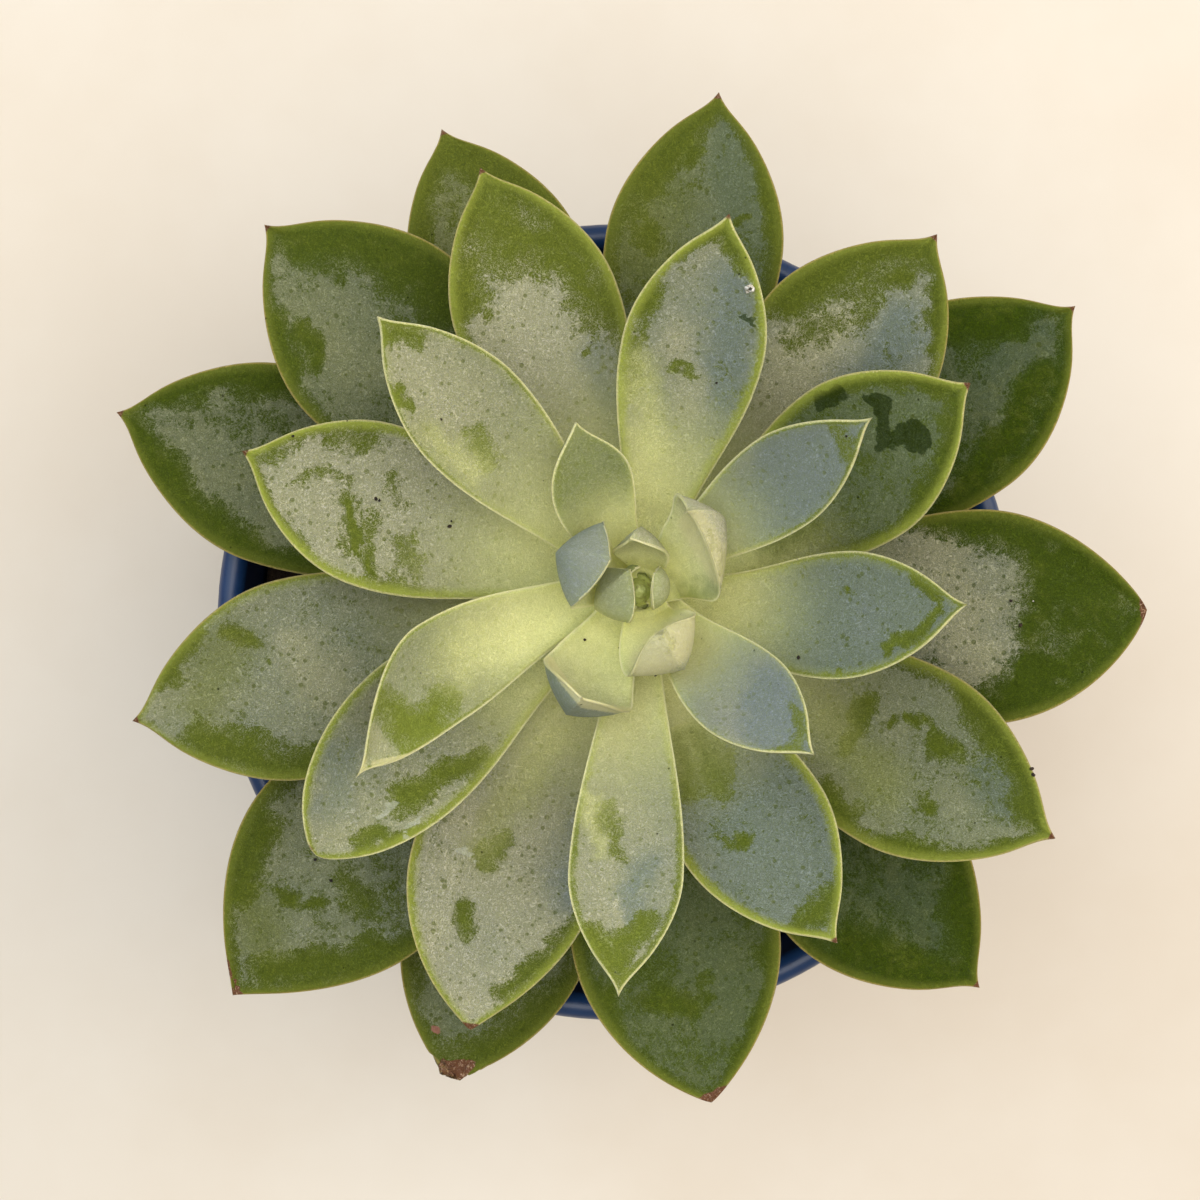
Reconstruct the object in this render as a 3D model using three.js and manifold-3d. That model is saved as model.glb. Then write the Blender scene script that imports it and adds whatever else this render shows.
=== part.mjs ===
// A rosette succulent in a round glazed pot: pot, soil, stem and thirty-five leaves in a spiral.
// Millimetres, +Z up. The origin is the middle of the pot's flat underside.
import * as THREE from 'three';
import { mergeVertices } from 'three/addons/utils/BufferGeometryUtils.js';
import Module from 'manifold-3d';

// Pot: a plain tapered wall that ends in a rounded lip.
const POT_HEIGHT = 100;
const RIM_RADIUS = 60;
const FOOT_RADIUS = 43;
const WALL = 4;
const POT_FLOOR = 6;
const FOOT_BEVEL = 1.5;
const LIP_SEGMENTS = 6;
const POT_SIDES = 60;
const POT_ROUNDNESS = 0.55;
const WALL_LEVELS = [0.18, 0.4, 0.62, 0.82];

// Soil: fills the pot to a little under the rim.
const GAP = 0.3;
const SOIL_TOP = 87;
const SOIL_BUMP = 0.9;
const SOIL_RINGS = 7;
const SOIL_SIDES = 48;

// Stem: stands off the middle of the pot, thick where the old leaves sit and narrow at the growing tip.
const STEM_PLACE = { x: 3, y: 4.7 };
const STEM_RADIUS = 8.5;
const STEM_DEPTH = 24;
const STEM_SIDES = 20;
const STEM_TAPER = 1.6;
const CROWN_DEPTH = 4;
const CROWN_STEPS = 12;
const TIP_STEPS = 6;
const SCAR_PITCH = 2.4;
const SCAR_HEIGHT = 0.35;
const GROWING_TIP_RADIUS = 1.1;
const GROWING_TIP_LENGTH = 2.5;

// Spiral: each younger leaf is a little higher and close to the golden angle further round.
const FIRST_TURN = 112;
const DIVERGENCE = 138;
const FIRST_ROOT_HEIGHT = 102;
const ROOT_RISE = 0.9;

// Leaves: all share one form, which changes step by step from the oldest to the youngest. Pitches are in
// degrees above level at the root, and droop is how far a leaf sinks back from that by its tip. Cup is the
// hollow of the upper face as a share of half the width. The root's width and the place of the greatest
// width are shares of the leaf's width and length.
const ROOT_GAP = 0.35;
const ROOT_PITCH = 6;
const PITCH_GAIN = 24;
const CROWN_PITCH_GAIN = 44;
const CROWN_PITCH_POWER = 2.2;
const LEAN_TOWARDS_LIGHT = 7;
const DROOP = { old: 8, young: 4 };
const THICKNESS = { old: 3.8, young: 2.2 };
const GREATEST_THICKNESS_SHARE = 0.24;
const CUP = { old: 0.1, young: 0.34 };
const ROOT_SHARE = { old: 0.34, young: 0.55 };
const WIDEST_AT = { old: 0.66, young: 0.6 };
const STATIONS = [0, 0.12, 0.25, 0.38, 0.5, 0.61, 0.71, 0.8, 0.88, 0.95];
const RING_POINTS = 12;
const CURVE_STEPS = 100;
const ROLL_END = 0.5;
const CURL_AT = 0.6;
const CURL_REACH = 0.22;

// One row a leaf, from the oldest and lowest to the youngest in the middle.
// length and width are in millimetres. swing turns the tip sideways from the leaf's place in the spiral,
// and lift raises the whole leaf, in degrees. bow moves the middle of the leaf sideways, in millimetres.
// curl bends the outer end up and inwards, and roll raises its left edge, or its right edge below 0, in
// degrees. point above 1 draws the tip out, and below 1 blunts it. widest and curlAt are where the leaf is
// widest and where it curls, as shares of its length.
const LEAVES = [
  { length: 66, width: 26, swing: 1, bow: 0.7 },
  { length: 69, width: 28, swing: -1, bow: -1.8 },
  { length: 69, width: 29.5, swing: 5.5, bow: -0.4 },
  { length: 73, width: 29.5, swing: -5.5, bow: -2.4 },
  { length: 69, width: 29.5, swing: 7.5, bow: 1 },
  { length: 66, width: 26, swing: -1.5, bow: -0.6 },
  { length: 76, width: 33, swing: 5.5 },
  { length: 67, width: 31, swing: -0.5, bow: -2.4 },
  { length: 68.5, width: 31, swing: -0.5, bow: -0.4 },
  { length: 68, width: 30, swing: 4.5, bow: -0.4 },
  { length: 61, width: 27.5, swing: -2.5, bow: -1.8 },
  { length: 68.5, width: 29, swing: 5, bow: 1.8 },
  { length: 65, width: 27, swing: 1, bow: -0.8 },
  { length: 59, width: 24, swing: 5, bow: 1 },
  { length: 62.5, width: 27, swing: 5, bow: -2.6 },
  { length: 53.5, width: 24, swing: 11, bow: 2 },
  { length: 55, width: 23.5, swing: 1, bow: 1.4 },
  { length: 56, width: 22, swing: 0, bow: -2.6 },
  { length: 53.5, width: 20, swing: 1, bow: 0.8 },
  { length: 57, width: 22, swing: 4.5, bow: -3.2, point: 0.6 },
  { length: 49, width: 18, swing: 3, bow: -2 },
  { length: 53, width: 17, swing: 4.5, bow: 1.4 },
  { length: 58, width: 15.8, swing: -1, lift: -5, point: 1.2, widest: 0.7 },
  { length: 46.5, width: 13.5, swing: -11, bow: -2.4, point: 1.2 },
  { length: 51, width: 14.5, swing: 24, bow: 3, point: 1.3 },
  { length: 41.8, width: 14, swing: -10, bow: -3.2 },
  { length: 26.4, width: 12.4, swing: 17, bow: 4.4, lift: -6 },
  { length: 27, width: 14.5, swing: 6, lift: -14, curl: 64, roll: -12, curlAt: 0.58 },
  { length: 21, width: 14, swing: 19, bow: 2.6, lift: -9, curl: 69, roll: -13, curlAt: 0.72 },
  { length: 20.3, width: 13, swing: 2.6, bow: 1.3, lift: 3.2, curl: 83, curlAt: 0.65 },
  { length: 19, width: 13, swing: 2.3, bow: -1.1, lift: -8.4, curl: 89, roll: 28, curlAt: 0.71 },
  { length: 13, width: 8.5, swing: 26, bow: 0.4, lift: -2, curl: 50 },
  { length: 11.5, width: 8.8, swing: -11.4, bow: 0.3, lift: 5, curl: 100, curlAt: 0.62 },
  { length: 8, width: 6, swing: 16, curl: 50 },
  { length: 5.8, width: 3.3, swing: -12, curl: 34 },
];

const GLAZE = { color: 0x16335c, roughness: 0.22, metalness: 0 };
const EARTH = { color: 0x2c2018, roughness: 0.97, metalness: 0 };
const OLD_STEM = { color: 0x7d7a45, roughness: 0.8, metalness: 0 };
const OLD_LEAF = new THREE.Color(0x5f7a45);
const YOUNG_LEAF = new THREE.Color(0xb7bf72);
const LEAF_ROUGHNESS = 0.7;

const wasm = await Module();
wasm.setup();

const radians = THREE.MathUtils.degToRad;
const mix = THREE.MathUtils.lerp;
const clamp01 = (value) => THREE.MathUtils.clamp(value, 0, 1);

function piece(name, geometry, look) {
  const mesh = new THREE.Mesh(geometry, new THREE.MeshStandardMaterial(look));
  mesh.name = name;
  return mesh;
}

// A profile of [radius, height] points, turned round the upright axis.
function turned(profile, sides) {
  const points = profile.map(([radius, height]) => new THREE.Vector2(radius, height));
  const geometry = new THREE.LatheGeometry(points, sides);
  geometry.rotateX(Math.PI / 2);
  return geometry;
}

// --- Pot -------------------------------------------------------------------------------------------

// The outside of the pot flares gently from the foot up to the lip, partly straight and partly rounded.
function outerRadius(height) {
  const share = height / POT_HEIGHT;
  return mix(FOOT_RADIUS, RIM_RADIUS, mix(share, Math.sin(share * Math.PI / 2), POT_ROUNDNESS));
}

function innerRadius(height) {
  return outerRadius(height) - WALL;
}

function lipProfile() {
  const lipRadius = WALL / 2;
  const middleRadius = RIM_RADIUS - lipRadius;
  const middleHeight = POT_HEIGHT - lipRadius;
  const profile = [];
  for (let step = 0; step <= LIP_SEGMENTS; step += 1) {
    const angle = Math.PI * step / LIP_SEGMENTS;
    profile.push([middleRadius + lipRadius * Math.cos(angle), middleHeight + lipRadius * Math.sin(angle)]);
  }
  return profile;
}

function potGeometry() {
  const heights = WALL_LEVELS.map((share) => share * POT_HEIGHT);
  const outside = heights.map((height) => [outerRadius(height), height]);
  const inside = heights.reverse().map((height) => [innerRadius(height), height]);
  return turned([
    [0, 0],
    [FOOT_RADIUS - FOOT_BEVEL, 0],
    [outerRadius(FOOT_BEVEL), FOOT_BEVEL],
    ...outside,
    ...lipProfile(),
    ...inside,
    [innerRadius(POT_FLOOR), POT_FLOOR],
    [0, POT_FLOOR],
  ], POT_SIDES);
}

// --- Stem ------------------------------------------------------------------------------------------

const STEM_FOOT = SOIL_TOP - STEM_DEPTH;
const CROWN_HEIGHT = FIRST_ROOT_HEIGHT - CROWN_DEPTH;
const STEM_HEAD = FIRST_ROOT_HEIGHT + ROOT_RISE * LEAVES.length;

// The stem keeps its width up to the crown of leaves, then narrows to the growing tip.
function stemRadius(height) {
  const share = clamp01((height - CROWN_HEIGHT) / (STEM_HEAD - CROWN_HEIGHT));
  return mix(STEM_RADIUS, GROWING_TIP_RADIUS, share ** STEM_TAPER);
}

// Old leaf scars ring the bare part of the stem above the soil.
function scarredRadius(height) {
  const wave = Math.cos(2 * Math.PI * (height - SOIL_TOP) / SCAR_PITCH);
  return STEM_RADIUS - SCAR_HEIGHT * (0.5 + 0.5 * wave);
}

function stemGeometry() {
  const profile = [[0, STEM_FOOT], [STEM_RADIUS, STEM_FOOT]];
  for (let height = SOIL_TOP - SCAR_PITCH; height < CROWN_HEIGHT; height += SCAR_PITCH / 2) {
    profile.push([scarredRadius(height), height]);
  }
  for (let step = 0; step < CROWN_STEPS; step += 1) {
    const height = mix(CROWN_HEIGHT, STEM_HEAD, step / CROWN_STEPS);
    profile.push([stemRadius(height), height]);
  }
  for (let step = 0; step < TIP_STEPS; step += 1) {
    const angle = Math.PI / 2 * step / TIP_STEPS;
    const height = STEM_HEAD + GROWING_TIP_LENGTH * Math.sin(angle);
    profile.push([GROWING_TIP_RADIUS * Math.cos(angle), height]);
  }
  profile.push([0, STEM_HEAD + GROWING_TIP_LENGTH]);
  return turned(profile, STEM_SIDES);
}

// --- Soil ------------------------------------------------------------------------------------------

// The wall is a ring of flats, so the round soil keeps two gaps clear of it.
function soilRadius(height) {
  return innerRadius(height) - 2 * GAP;
}

// Two waves of different lengths leave the top of the soil slightly uneven.
function soilHeight(x, y) {
  const long = Math.sin(x * 0.17 + 1.3) * Math.cos(y * 0.15 - 0.4);
  const short = Math.sin(x * 0.41 - y * 0.23) * Math.cos(y * 0.37 + 0.8);
  return SOIL_TOP + SOIL_BUMP * mix(long, short, 0.4);
}

function soilBody() {
  const bottom = POT_FLOOR + GAP;
  const profile = [[0, bottom], [soilRadius(bottom), bottom]];
  for (const share of WALL_LEVELS) {
    profile.push([soilRadius(share * POT_HEIGHT), share * POT_HEIGHT]);
  }
  const edge = soilRadius(SOIL_TOP);
  for (let ring = SOIL_RINGS; ring >= 0; ring -= 1) {
    profile.push([edge * ring / SOIL_RINGS, SOIL_TOP]);
  }
  const geometry = turned(profile, SOIL_SIDES);
  const place = geometry.attributes.position;
  for (let index = 0; index < place.count; index += 1) {
    if (place.getZ(index) > SOIL_TOP - 0.01) {
      place.setZ(index, soilHeight(place.getX(index), place.getY(index)));
    }
  }
  return geometry;
}

// A closed geometry as a solid that can be cut: only positions stay, and no triangle has two equal corners.
function solid(geometry) {
  geometry.deleteAttribute('normal');
  geometry.deleteAttribute('uv');
  const merged = mergeVertices(geometry);
  const corners = merged.index.array;
  const kept = [];
  for (let start = 0; start < corners.length; start += 3) {
    const [a, b, c] = corners.slice(start, start + 3);
    if (a !== b && b !== c && c !== a) {
      kept.push(a, b, c);
    }
  }
  return new wasm.Manifold(new wasm.Mesh({
    numProp: 3,
    vertProperties: merged.attributes.position.array,
    triVerts: Uint32Array.from(kept),
  }));
}

function geometryOf(body) {
  const mesh = body.getMesh();
  const geometry = new THREE.BufferGeometry();
  geometry.setAttribute('position', new THREE.BufferAttribute(mesh.vertProperties, 3));
  geometry.setIndex(new THREE.BufferAttribute(mesh.triVerts, 1));
  geometry.computeVertexNormals();
  return geometry;
}

// The stem stands in a plain round hole in the soil.
function soilGeometry() {
  const depth = STEM_DEPTH + GAP;
  const hole = new THREE.CylinderGeometry(STEM_RADIUS + GAP, STEM_RADIUS + GAP, 2 * depth, STEM_SIDES);
  hole.rotateX(Math.PI / 2);
  hole.translate(STEM_PLACE.x, STEM_PLACE.y, SOIL_TOP);
  return geometryOf(solid(soilBody()).subtract(solid(hole)));
}

// --- Leaves ----------------------------------------------------------------------------------------

// 0 for the oldest leaf, 1 for the youngest.
function youth(rank) {
  return rank / (LEAVES.length - 1);
}

// How far round the spiral a leaf stands, in degrees.
function turnOf(rank) {
  return FIRST_TURN + DIVERGENCE * rank;
}

// Young leaves stand steeper, and steeper still on the side that faces the light.
function rootPitch(rank) {
  const young = youth(rank);
  const lean = LEAN_TOWARDS_LIGHT * Math.cos(radians(turnOf(rank))) * clamp01(young * 3);
  return ROOT_PITCH + PITCH_GAIN * young + CROWN_PITCH_GAIN * young ** CROWN_PITCH_POWER + lean;
}

// Everything that shapes one leaf, from its row and its place in the spiral.
function leafPlan(rank) {
  const row = { swing: 0, bow: 0, lift: 0, curl: 0, curlAt: CURL_AT, roll: 0, point: 1, ...LEAVES[rank] };
  const young = youth(rank);
  return {
    ...row,
    rootHeight: FIRST_ROOT_HEIGHT + ROOT_RISE * rank,
    rootPitch: rootPitch(rank) + row.lift,
    droop: mix(DROOP.old, DROOP.young, young),
    bowAngle: THREE.MathUtils.radToDeg(Math.atan(4 * row.bow / row.length)),
    thickness: Math.min(mix(THICKNESS.old, THICKNESS.young, young), GREATEST_THICKNESS_SHARE * row.width),
    cup: mix(CUP.old, CUP.young, young),
    rootShare: mix(ROOT_SHARE.old, ROOT_SHARE.young, young ** 2),
    widest: row.widest ?? mix(WIDEST_AT.old, WIDEST_AT.young, young),
  };
}

// The share of a bend that lies on each unit of length when it is spread smoothly from start to end.
function bendDensity(share, start, end) {
  const within = clamp01((share - start) / (end - start));
  return 6 * within * (1 - within) / (end - start);
}

// How fast the leaf bends at a share of its length, in degrees over a whole length: up or down about its
// own width, sideways about its own thickness, and round its own middle line.
function bendRates(plan, share) {
  return {
    raise: plan.curl * bendDensity(share, plan.curlAt - CURL_REACH, plan.curlAt + CURL_REACH) - plan.droop,
    sideways: 2 * (plan.swing - plan.bowAngle),
    roll: plan.roll * bendDensity(share, 0, ROLL_END),
  };
}

// The leaf's middle line, in the leaf's own frame: x outwards, y to the left and z up. It starts at the root,
// and each short step turns the directions a little and moves on along the tangent.
function middleLine(plan) {
  const heading = radians(plan.bowAngle);
  const pitch = radians(plan.rootPitch);
  const tangent = new THREE.Vector3(Math.cos(heading), Math.sin(heading), Math.tan(pitch)).normalize();
  const across = new THREE.Vector3(-Math.sin(heading), Math.cos(heading), 0);
  const centre = new THREE.Vector3(stemRadius(plan.rootHeight) + ROOT_GAP, 0, plan.rootHeight);
  const sections = [];
  for (let step = 0; step <= CURVE_STEPS; step += 1) {
    const normal = tangent.clone().cross(across).normalize();
    sections.push({ centre: centre.clone(), across: across.clone(), normal });
    const rates = bendRates(plan, step / CURVE_STEPS);
    const turns = [[across, -rates.raise], [normal.clone(), rates.sideways], [tangent.clone(), rates.roll]];
    for (const [axis, degrees] of turns) {
      const angle = radians(degrees) / CURVE_STEPS;
      tangent.applyAxisAngle(axis, angle);
      across.applyAxisAngle(axis.clone(), angle);
    }
    centre.addScaledVector(tangent, plan.length / CURVE_STEPS);
  }
  return sections;
}

// Half the leaf's width: a smooth swell from the root to the widest place, then a closing curve to the tip.
function halfWidthAt(plan, share) {
  if (share < plan.widest) {
    const swell = (1 - Math.cos(Math.PI * share / plan.widest)) / 2;
    return plan.width / 2 * mix(plan.rootShare, 1, swell);
  }
  const closing = (share - plan.widest) / (1 - plan.widest);
  return plan.width / 2 * (1 - closing ** 2) ** plan.point;
}

// One ring of points: over the flat or hollow upper face, then back under the rounded lower face.
function leafRing(plan, share, section) {
  const { centre, across, normal } = section;
  const halfWidth = halfWidthAt(plan, share);
  const thickness = plan.thickness * Math.sqrt(2 * halfWidth / plan.width);
  const ring = [];
  for (let index = 0; index < RING_POINTS; index += 1) {
    const angle = 2 * Math.PI * index / RING_POINTS;
    const aside = Math.cos(angle);
    const below = Math.max(0, -Math.sin(angle)) * thickness;
    const hollow = plan.cup * halfWidth * aside ** 2;
    const point = centre.clone().addScaledVector(across, halfWidth * aside);
    ring.push(point.addScaledVector(normal, hollow - below));
  }
  return ring;
}

// The root ring is wrapped on the stem, so that the leaf sits against it all round.
function wrapOnStem(ring) {
  return ring.map((point) => {
    const radius = stemRadius(point.z) + ROOT_GAP;
    const angle = point.y / radius;
    return new THREE.Vector3(radius * Math.cos(angle), radius * Math.sin(angle), point.z);
  });
}

// Triangles between two rings. The diagonals lie alike on the upper and the lower face.
function bandTriangles(first, second) {
  const triangles = [];
  for (let index = 0; index < RING_POINTS; index += 1) {
    const next = (index + 1) % RING_POINTS;
    const [a, b, c, d] = [first + index, first + next, second + next, second + index];
    const upper = index < RING_POINTS / 2;
    triangles.push(...(upper ? [a, b, c, a, c, d] : [a, b, d, b, c, d]));
  }
  return triangles;
}

function capTriangles() {
  const triangles = [];
  for (let index = 0; index < RING_POINTS / 2; index += 1) {
    const [a, b] = [index, index + 1];
    const [c, d] = [(RING_POINTS - b) % RING_POINTS, (RING_POINTS - a) % RING_POINTS];
    if (b !== c) {
      triangles.push(a, c, b);
    }
    if (a !== d) {
      triangles.push(a, d, c);
    }
  }
  return triangles;
}

function leafGeometry(rank) {
  const plan = leafPlan(rank);
  const sections = middleLine(plan);
  const rings = STATIONS.map((share) => leafRing(plan, share, sections[Math.round(share * CURVE_STEPS)]));
  rings[0] = wrapOnStem(rings[0]);
  const points = [...rings.flat(), sections[CURVE_STEPS].centre];
  const tip = points.length - 1;
  const triangles = capTriangles();
  for (let ring = 0; ring + 1 < rings.length; ring += 1) {
    triangles.push(...bandTriangles(ring * RING_POINTS, (ring + 1) * RING_POINTS));
  }
  const last = (rings.length - 1) * RING_POINTS;
  for (let index = 0; index < RING_POINTS; index += 1) {
    triangles.push(last + index, last + (index + 1) % RING_POINTS, tip);
  }
  const geometry = new THREE.BufferGeometry().setFromPoints(points);
  geometry.setIndex(triangles);
  geometry.computeVertexNormals();
  return geometry;
}

function leafMesh(rank) {
  const name = `leaf_${String(rank + 1).padStart(2, '0')}`;
  const color = OLD_LEAF.clone().lerp(YOUNG_LEAF, youth(rank));
  const mesh = piece(name, leafGeometry(rank), { color, roughness: LEAF_ROUGHNESS });
  mesh.rotation.z = radians(turnOf(rank));
  return mesh;
}

function plantGroup() {
  const plant = new THREE.Group();
  plant.position.set(STEM_PLACE.x, STEM_PLACE.y, 0);
  plant.add(piece('stem', stemGeometry(), OLD_STEM));
  LEAVES.forEach((row, rank) => plant.add(leafMesh(rank)));
  return plant;
}

const pottedSucculent = new THREE.Group();
pottedSucculent.add(piece('pot', potGeometry(), GLAZE));
pottedSucculent.add(piece('soil', soilGeometry(), EARTH));
pottedSucculent.add(plantGroup());

export default pottedSucculent;
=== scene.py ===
"""The looks of a rosette succulent in a blue glazed pot: waxy leaves with bloom and wear, pot, soil and stem.

Shapes are worked out in millimetres and turned into metres when a mesh is made.
"""

import math
import random

import bpy
import numpy as np
from bpy.props import FloatProperty, FloatVectorProperty, IntProperty, PointerProperty
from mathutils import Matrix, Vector, noise


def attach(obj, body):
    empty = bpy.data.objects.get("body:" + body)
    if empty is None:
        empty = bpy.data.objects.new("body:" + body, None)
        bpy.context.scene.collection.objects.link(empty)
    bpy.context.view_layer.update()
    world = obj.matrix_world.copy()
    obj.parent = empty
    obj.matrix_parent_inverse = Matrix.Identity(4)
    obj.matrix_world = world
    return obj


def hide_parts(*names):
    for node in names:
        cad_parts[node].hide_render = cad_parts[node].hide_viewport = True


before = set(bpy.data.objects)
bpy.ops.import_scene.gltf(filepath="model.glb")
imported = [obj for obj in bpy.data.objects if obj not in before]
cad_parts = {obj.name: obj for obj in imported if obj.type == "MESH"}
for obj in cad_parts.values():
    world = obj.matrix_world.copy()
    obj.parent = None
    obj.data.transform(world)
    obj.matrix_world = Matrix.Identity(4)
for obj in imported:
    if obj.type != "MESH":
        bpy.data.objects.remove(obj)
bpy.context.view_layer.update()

bl_info = {
    "name": "Potted Succulent",
    "version": (1, 0, 0),
    "blender": (4, 5, 0),
    "location": "View3D > Sidebar > Succulent",
    "description": "Rosette succulent with bloom and wear, in a glazed pot",
    "category": "Add Mesh",
}

MILLIMETRE = 0.001

# --- Measures that the finer pieces share with the solids, in millimetres -----------------------------

POT_HEIGHT = 100
RIM_RADIUS = 60
FOOT_RADIUS = 43
WALL = 4
POT_FLOOR = 6
FOOT_BEVEL = 1.5
POT_ROUNDNESS = 0.55
GAP = 0.3
SOIL_TOP = 87
SOIL_BUMP = 0.9
STEM_PLACE = np.array([3.0, 4.7, 0.0])
STEM_RADIUS = 8.5
STEM_DEPTH = 24
STEM_TAPER = 1.6
CROWN_DEPTH = 4
SCAR_PITCH = 2.4
SCAR_HEIGHT = 0.35
GROWING_TIP_RADIUS = 1.1
GROWING_TIP_LENGTH = 2.5
FIRST_TURN = 112
DIVERGENCE = 138
FIRST_ROOT_HEIGHT = 102
ROOT_RISE = 0.9
ROOT_GAP = 0.35
ROOT_PITCH = 6
PITCH_GAIN = 24
CROWN_PITCH_GAIN = 44
CROWN_PITCH_POWER = 2.2
LEAN_TOWARDS_LIGHT = 7
OLD = dict(droop=8, thickness=3.8, cup=0.1, root_share=0.34, widest=0.66)
YOUNG = dict(droop=4, thickness=2.2, cup=0.34, root_share=0.55, widest=0.6)
GREATEST_THICKNESS_SHARE = 0.24
CURVE_STEPS = 100
FIRST_FREE_STATION = 0.12
ROLL_END = 0.5
CURL_REACH = 0.22
TIP_HOLLOW = 0.45
TIP_REACH = 3.2
KEEL_DEPTH = 1.6

# One leaf a row, from the oldest to the youngest: length and width, then the bends that differ from 0.
LEAVES = [
    dict(length=66, width=26, swing=1, bow=0.7),
    dict(length=69, width=28, swing=-1, bow=-1.8),
    dict(length=69, width=29.5, swing=5.5, bow=-0.4),
    dict(length=73, width=29.5, swing=-5.5, bow=-2.4),
    dict(length=69, width=29.5, swing=7.5, bow=1),
    dict(length=66, width=26, swing=-1.5, bow=-0.6),
    dict(length=76, width=33, swing=5.5),
    dict(length=67, width=31, swing=-0.5, bow=-2.4),
    dict(length=68.5, width=31, swing=-0.5, bow=-0.4),
    dict(length=68, width=30, swing=4.5, bow=-0.4),
    dict(length=61, width=27.5, swing=-2.5, bow=-1.8),
    dict(length=68.5, width=29, swing=5, bow=1.8),
    dict(length=65, width=27, swing=1, bow=-0.8),
    dict(length=59, width=24, swing=5, bow=1),
    dict(length=62.5, width=27, swing=5, bow=-2.6),
    dict(length=53.5, width=24, swing=11, bow=2),
    dict(length=55, width=23.5, swing=1, bow=1.4),
    dict(length=56, width=22, bow=-2.6),
    dict(length=53.5, width=20, swing=1, bow=0.8),
    dict(length=57, width=22, swing=4.5, bow=-3.2, point=0.6),
    dict(length=49, width=18, swing=3, bow=-2),
    dict(length=53, width=17, swing=4.5, bow=1.4),
    dict(length=58, width=15.8, swing=-1, lift=-5, point=1.2, widest=0.7),
    dict(length=46.5, width=13.5, swing=-11, bow=-2.4, point=1.2),
    dict(length=51, width=14.5, swing=24, bow=3, point=1.3),
    dict(length=41.8, width=14, swing=-10, bow=-3.2),
    dict(length=26.4, width=12.4, swing=17, bow=4.4, lift=-6),
    dict(length=27, width=14.5, swing=6, lift=-14, curl=64, roll=-12, curl_at=0.58),
    dict(length=21, width=14, swing=19, bow=2.6, lift=-9, curl=69, roll=-13, curl_at=0.72),
    dict(length=20.3, width=13, swing=2.6, bow=1.3, lift=3.2, curl=83, curl_at=0.65),
    dict(length=19, width=13, swing=2.3, bow=-1.1, lift=-8.4, curl=89, roll=28, curl_at=0.71),
    dict(length=13, width=8.5, swing=26, bow=0.4, lift=-2, curl=50),
    dict(length=11.5, width=8.8, swing=-11.4, bow=0.3, lift=5, curl=100, curl_at=0.62),
    dict(length=8, width=6, swing=16, curl=50),
    dict(length=5.8, width=3.3, swing=-12, curl=34),
]

# How the fine leaves at the heart differ from their solids: the tip leans aside, by millimetres, or is blunter.
HEART = {
    1: dict(hollow=0.0, point=0.8, crumple=0.8),
    6: dict(hollow=0.1),
    7: dict(hollow=0, point=0.8),
    9: dict(hollow=0.05, point=0.85),
    14: dict(hollow=0.1, point=0.9),
    19: dict(hollow=0.1),
    24: dict(skew=5.0, lean_from=0.62, hollow=0.7),
    27: dict(skew=-3.5, hollow=0, keel=0.5),
    28: dict(skew=6.5, hollow=0.8, keel=0.5),
    29: dict(hollow=0, keel=0.45, roll=-2, curl_at=0.6),
    30: dict(skew=0.6, hollow=0, point=0.6, keel=0.5),
    31: dict(skew=-1.2, hollow=0.4, curl=26, keel=0.5),
    32: dict(skew=-0.6, hollow=0.3, length=12.5, curl=88, curl_at=0.5, keel=0.4),
    33: dict(skew=1.0, hollow=0),
    34: dict(hollow=0),
}

# The view straight down that the marks on the leaves are placed from, in millimetres and pixels.
VIEW_X = -2.4
VIEW_Y = 3.3
VIEW_HEIGHT = 600
FRAME_SIDE = 1200
FOCAL_LENGTH = 100.0
SENSOR_WIDTH = 36.0

# The skin of each leaf from the oldest: how thick its bloom is, how warm the bloom's grey (partly painted light, warmer
# on leaves facing the warm lamp), how far the margin is bare in millimetres, and how olive the skin.
SKINS = [
    (0.13, 0.9, 2.6, 0.8), (0.22, 0.4, 2.5, 0.5), (0.06, 0.2, 2.5, 0.0), (0.24, 0.8, 2.0, 0.2), (0.0, 0.1, 2.5, 0.0),
    (0.2, 0.3, 1.8, 0.5), (0.36, 0.6, 1.8, 0.4), (0.52, 0.6, 1.8, 0.0), (0.26, 0.7, 1.5, 0.2), (0.05, 0.2, 1.4, 0.1),
    (0.66, 0.6, 1.6, 0.5), (0.56, 0.6, 0.5, 0.5), (0.38, 0.5, 1.6, 0.3), (0.78, 0.9, 1.8, 0.8), (0.85, 0.9, 0.8, 0.5),
    (0.14, 0.0, 1.3, 0.0), (0.73, 0.8, 1.0, 0.6), (0.58, 0.2, 1.0, 0.1), (0.7, 0.6, 1.1, 0.4), (0.65, 0.8, 0.8, 0.4),
    (0.6, 0.1, 0.6, 0.2), (0.64, 0.9, 0.5, 0.5), (0.75, 0.8, 0.8, 0.4), (0.8, 0.1, 0.5, 0.2), (0.5, 0.8, 0.4, 0.5),
    (0.95, 0.3, 0.3, 0.3), (0.25, 0.6, 0.1, 0.5), (0.8, 0.1, 0.0, 0.5), (1.0, 1.0, 0.0, 0.5), (0.9, 0.1, 0.0, 0.5),
    (0.8, 0.9, 0.0, 0.5), (0.8, 0.9, 0.0, 0.5), (0.5, 0.5, 0.0, 0.5), (0.5, 0.8, 0.0, 0.5), (0.2, 0.4, 0.0, 0.5),
]

MARK_GROUPS = {
    "leaf_wear": ("rub", "dust", "dark"),
    # Pale, blue and chalk are partly painted light: pale and chalky on sides facing the warm lamp, blue-grey on sides
    # turned from it.
    "leaf_tints_and_painted_light": ("pale", "blue", "chalk_and_painted_light"),
    "leaf_scars": ("dry", "scar", "scratch"),
    "leaf_thin": ("worn", "fleck", "cream"),
}
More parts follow.
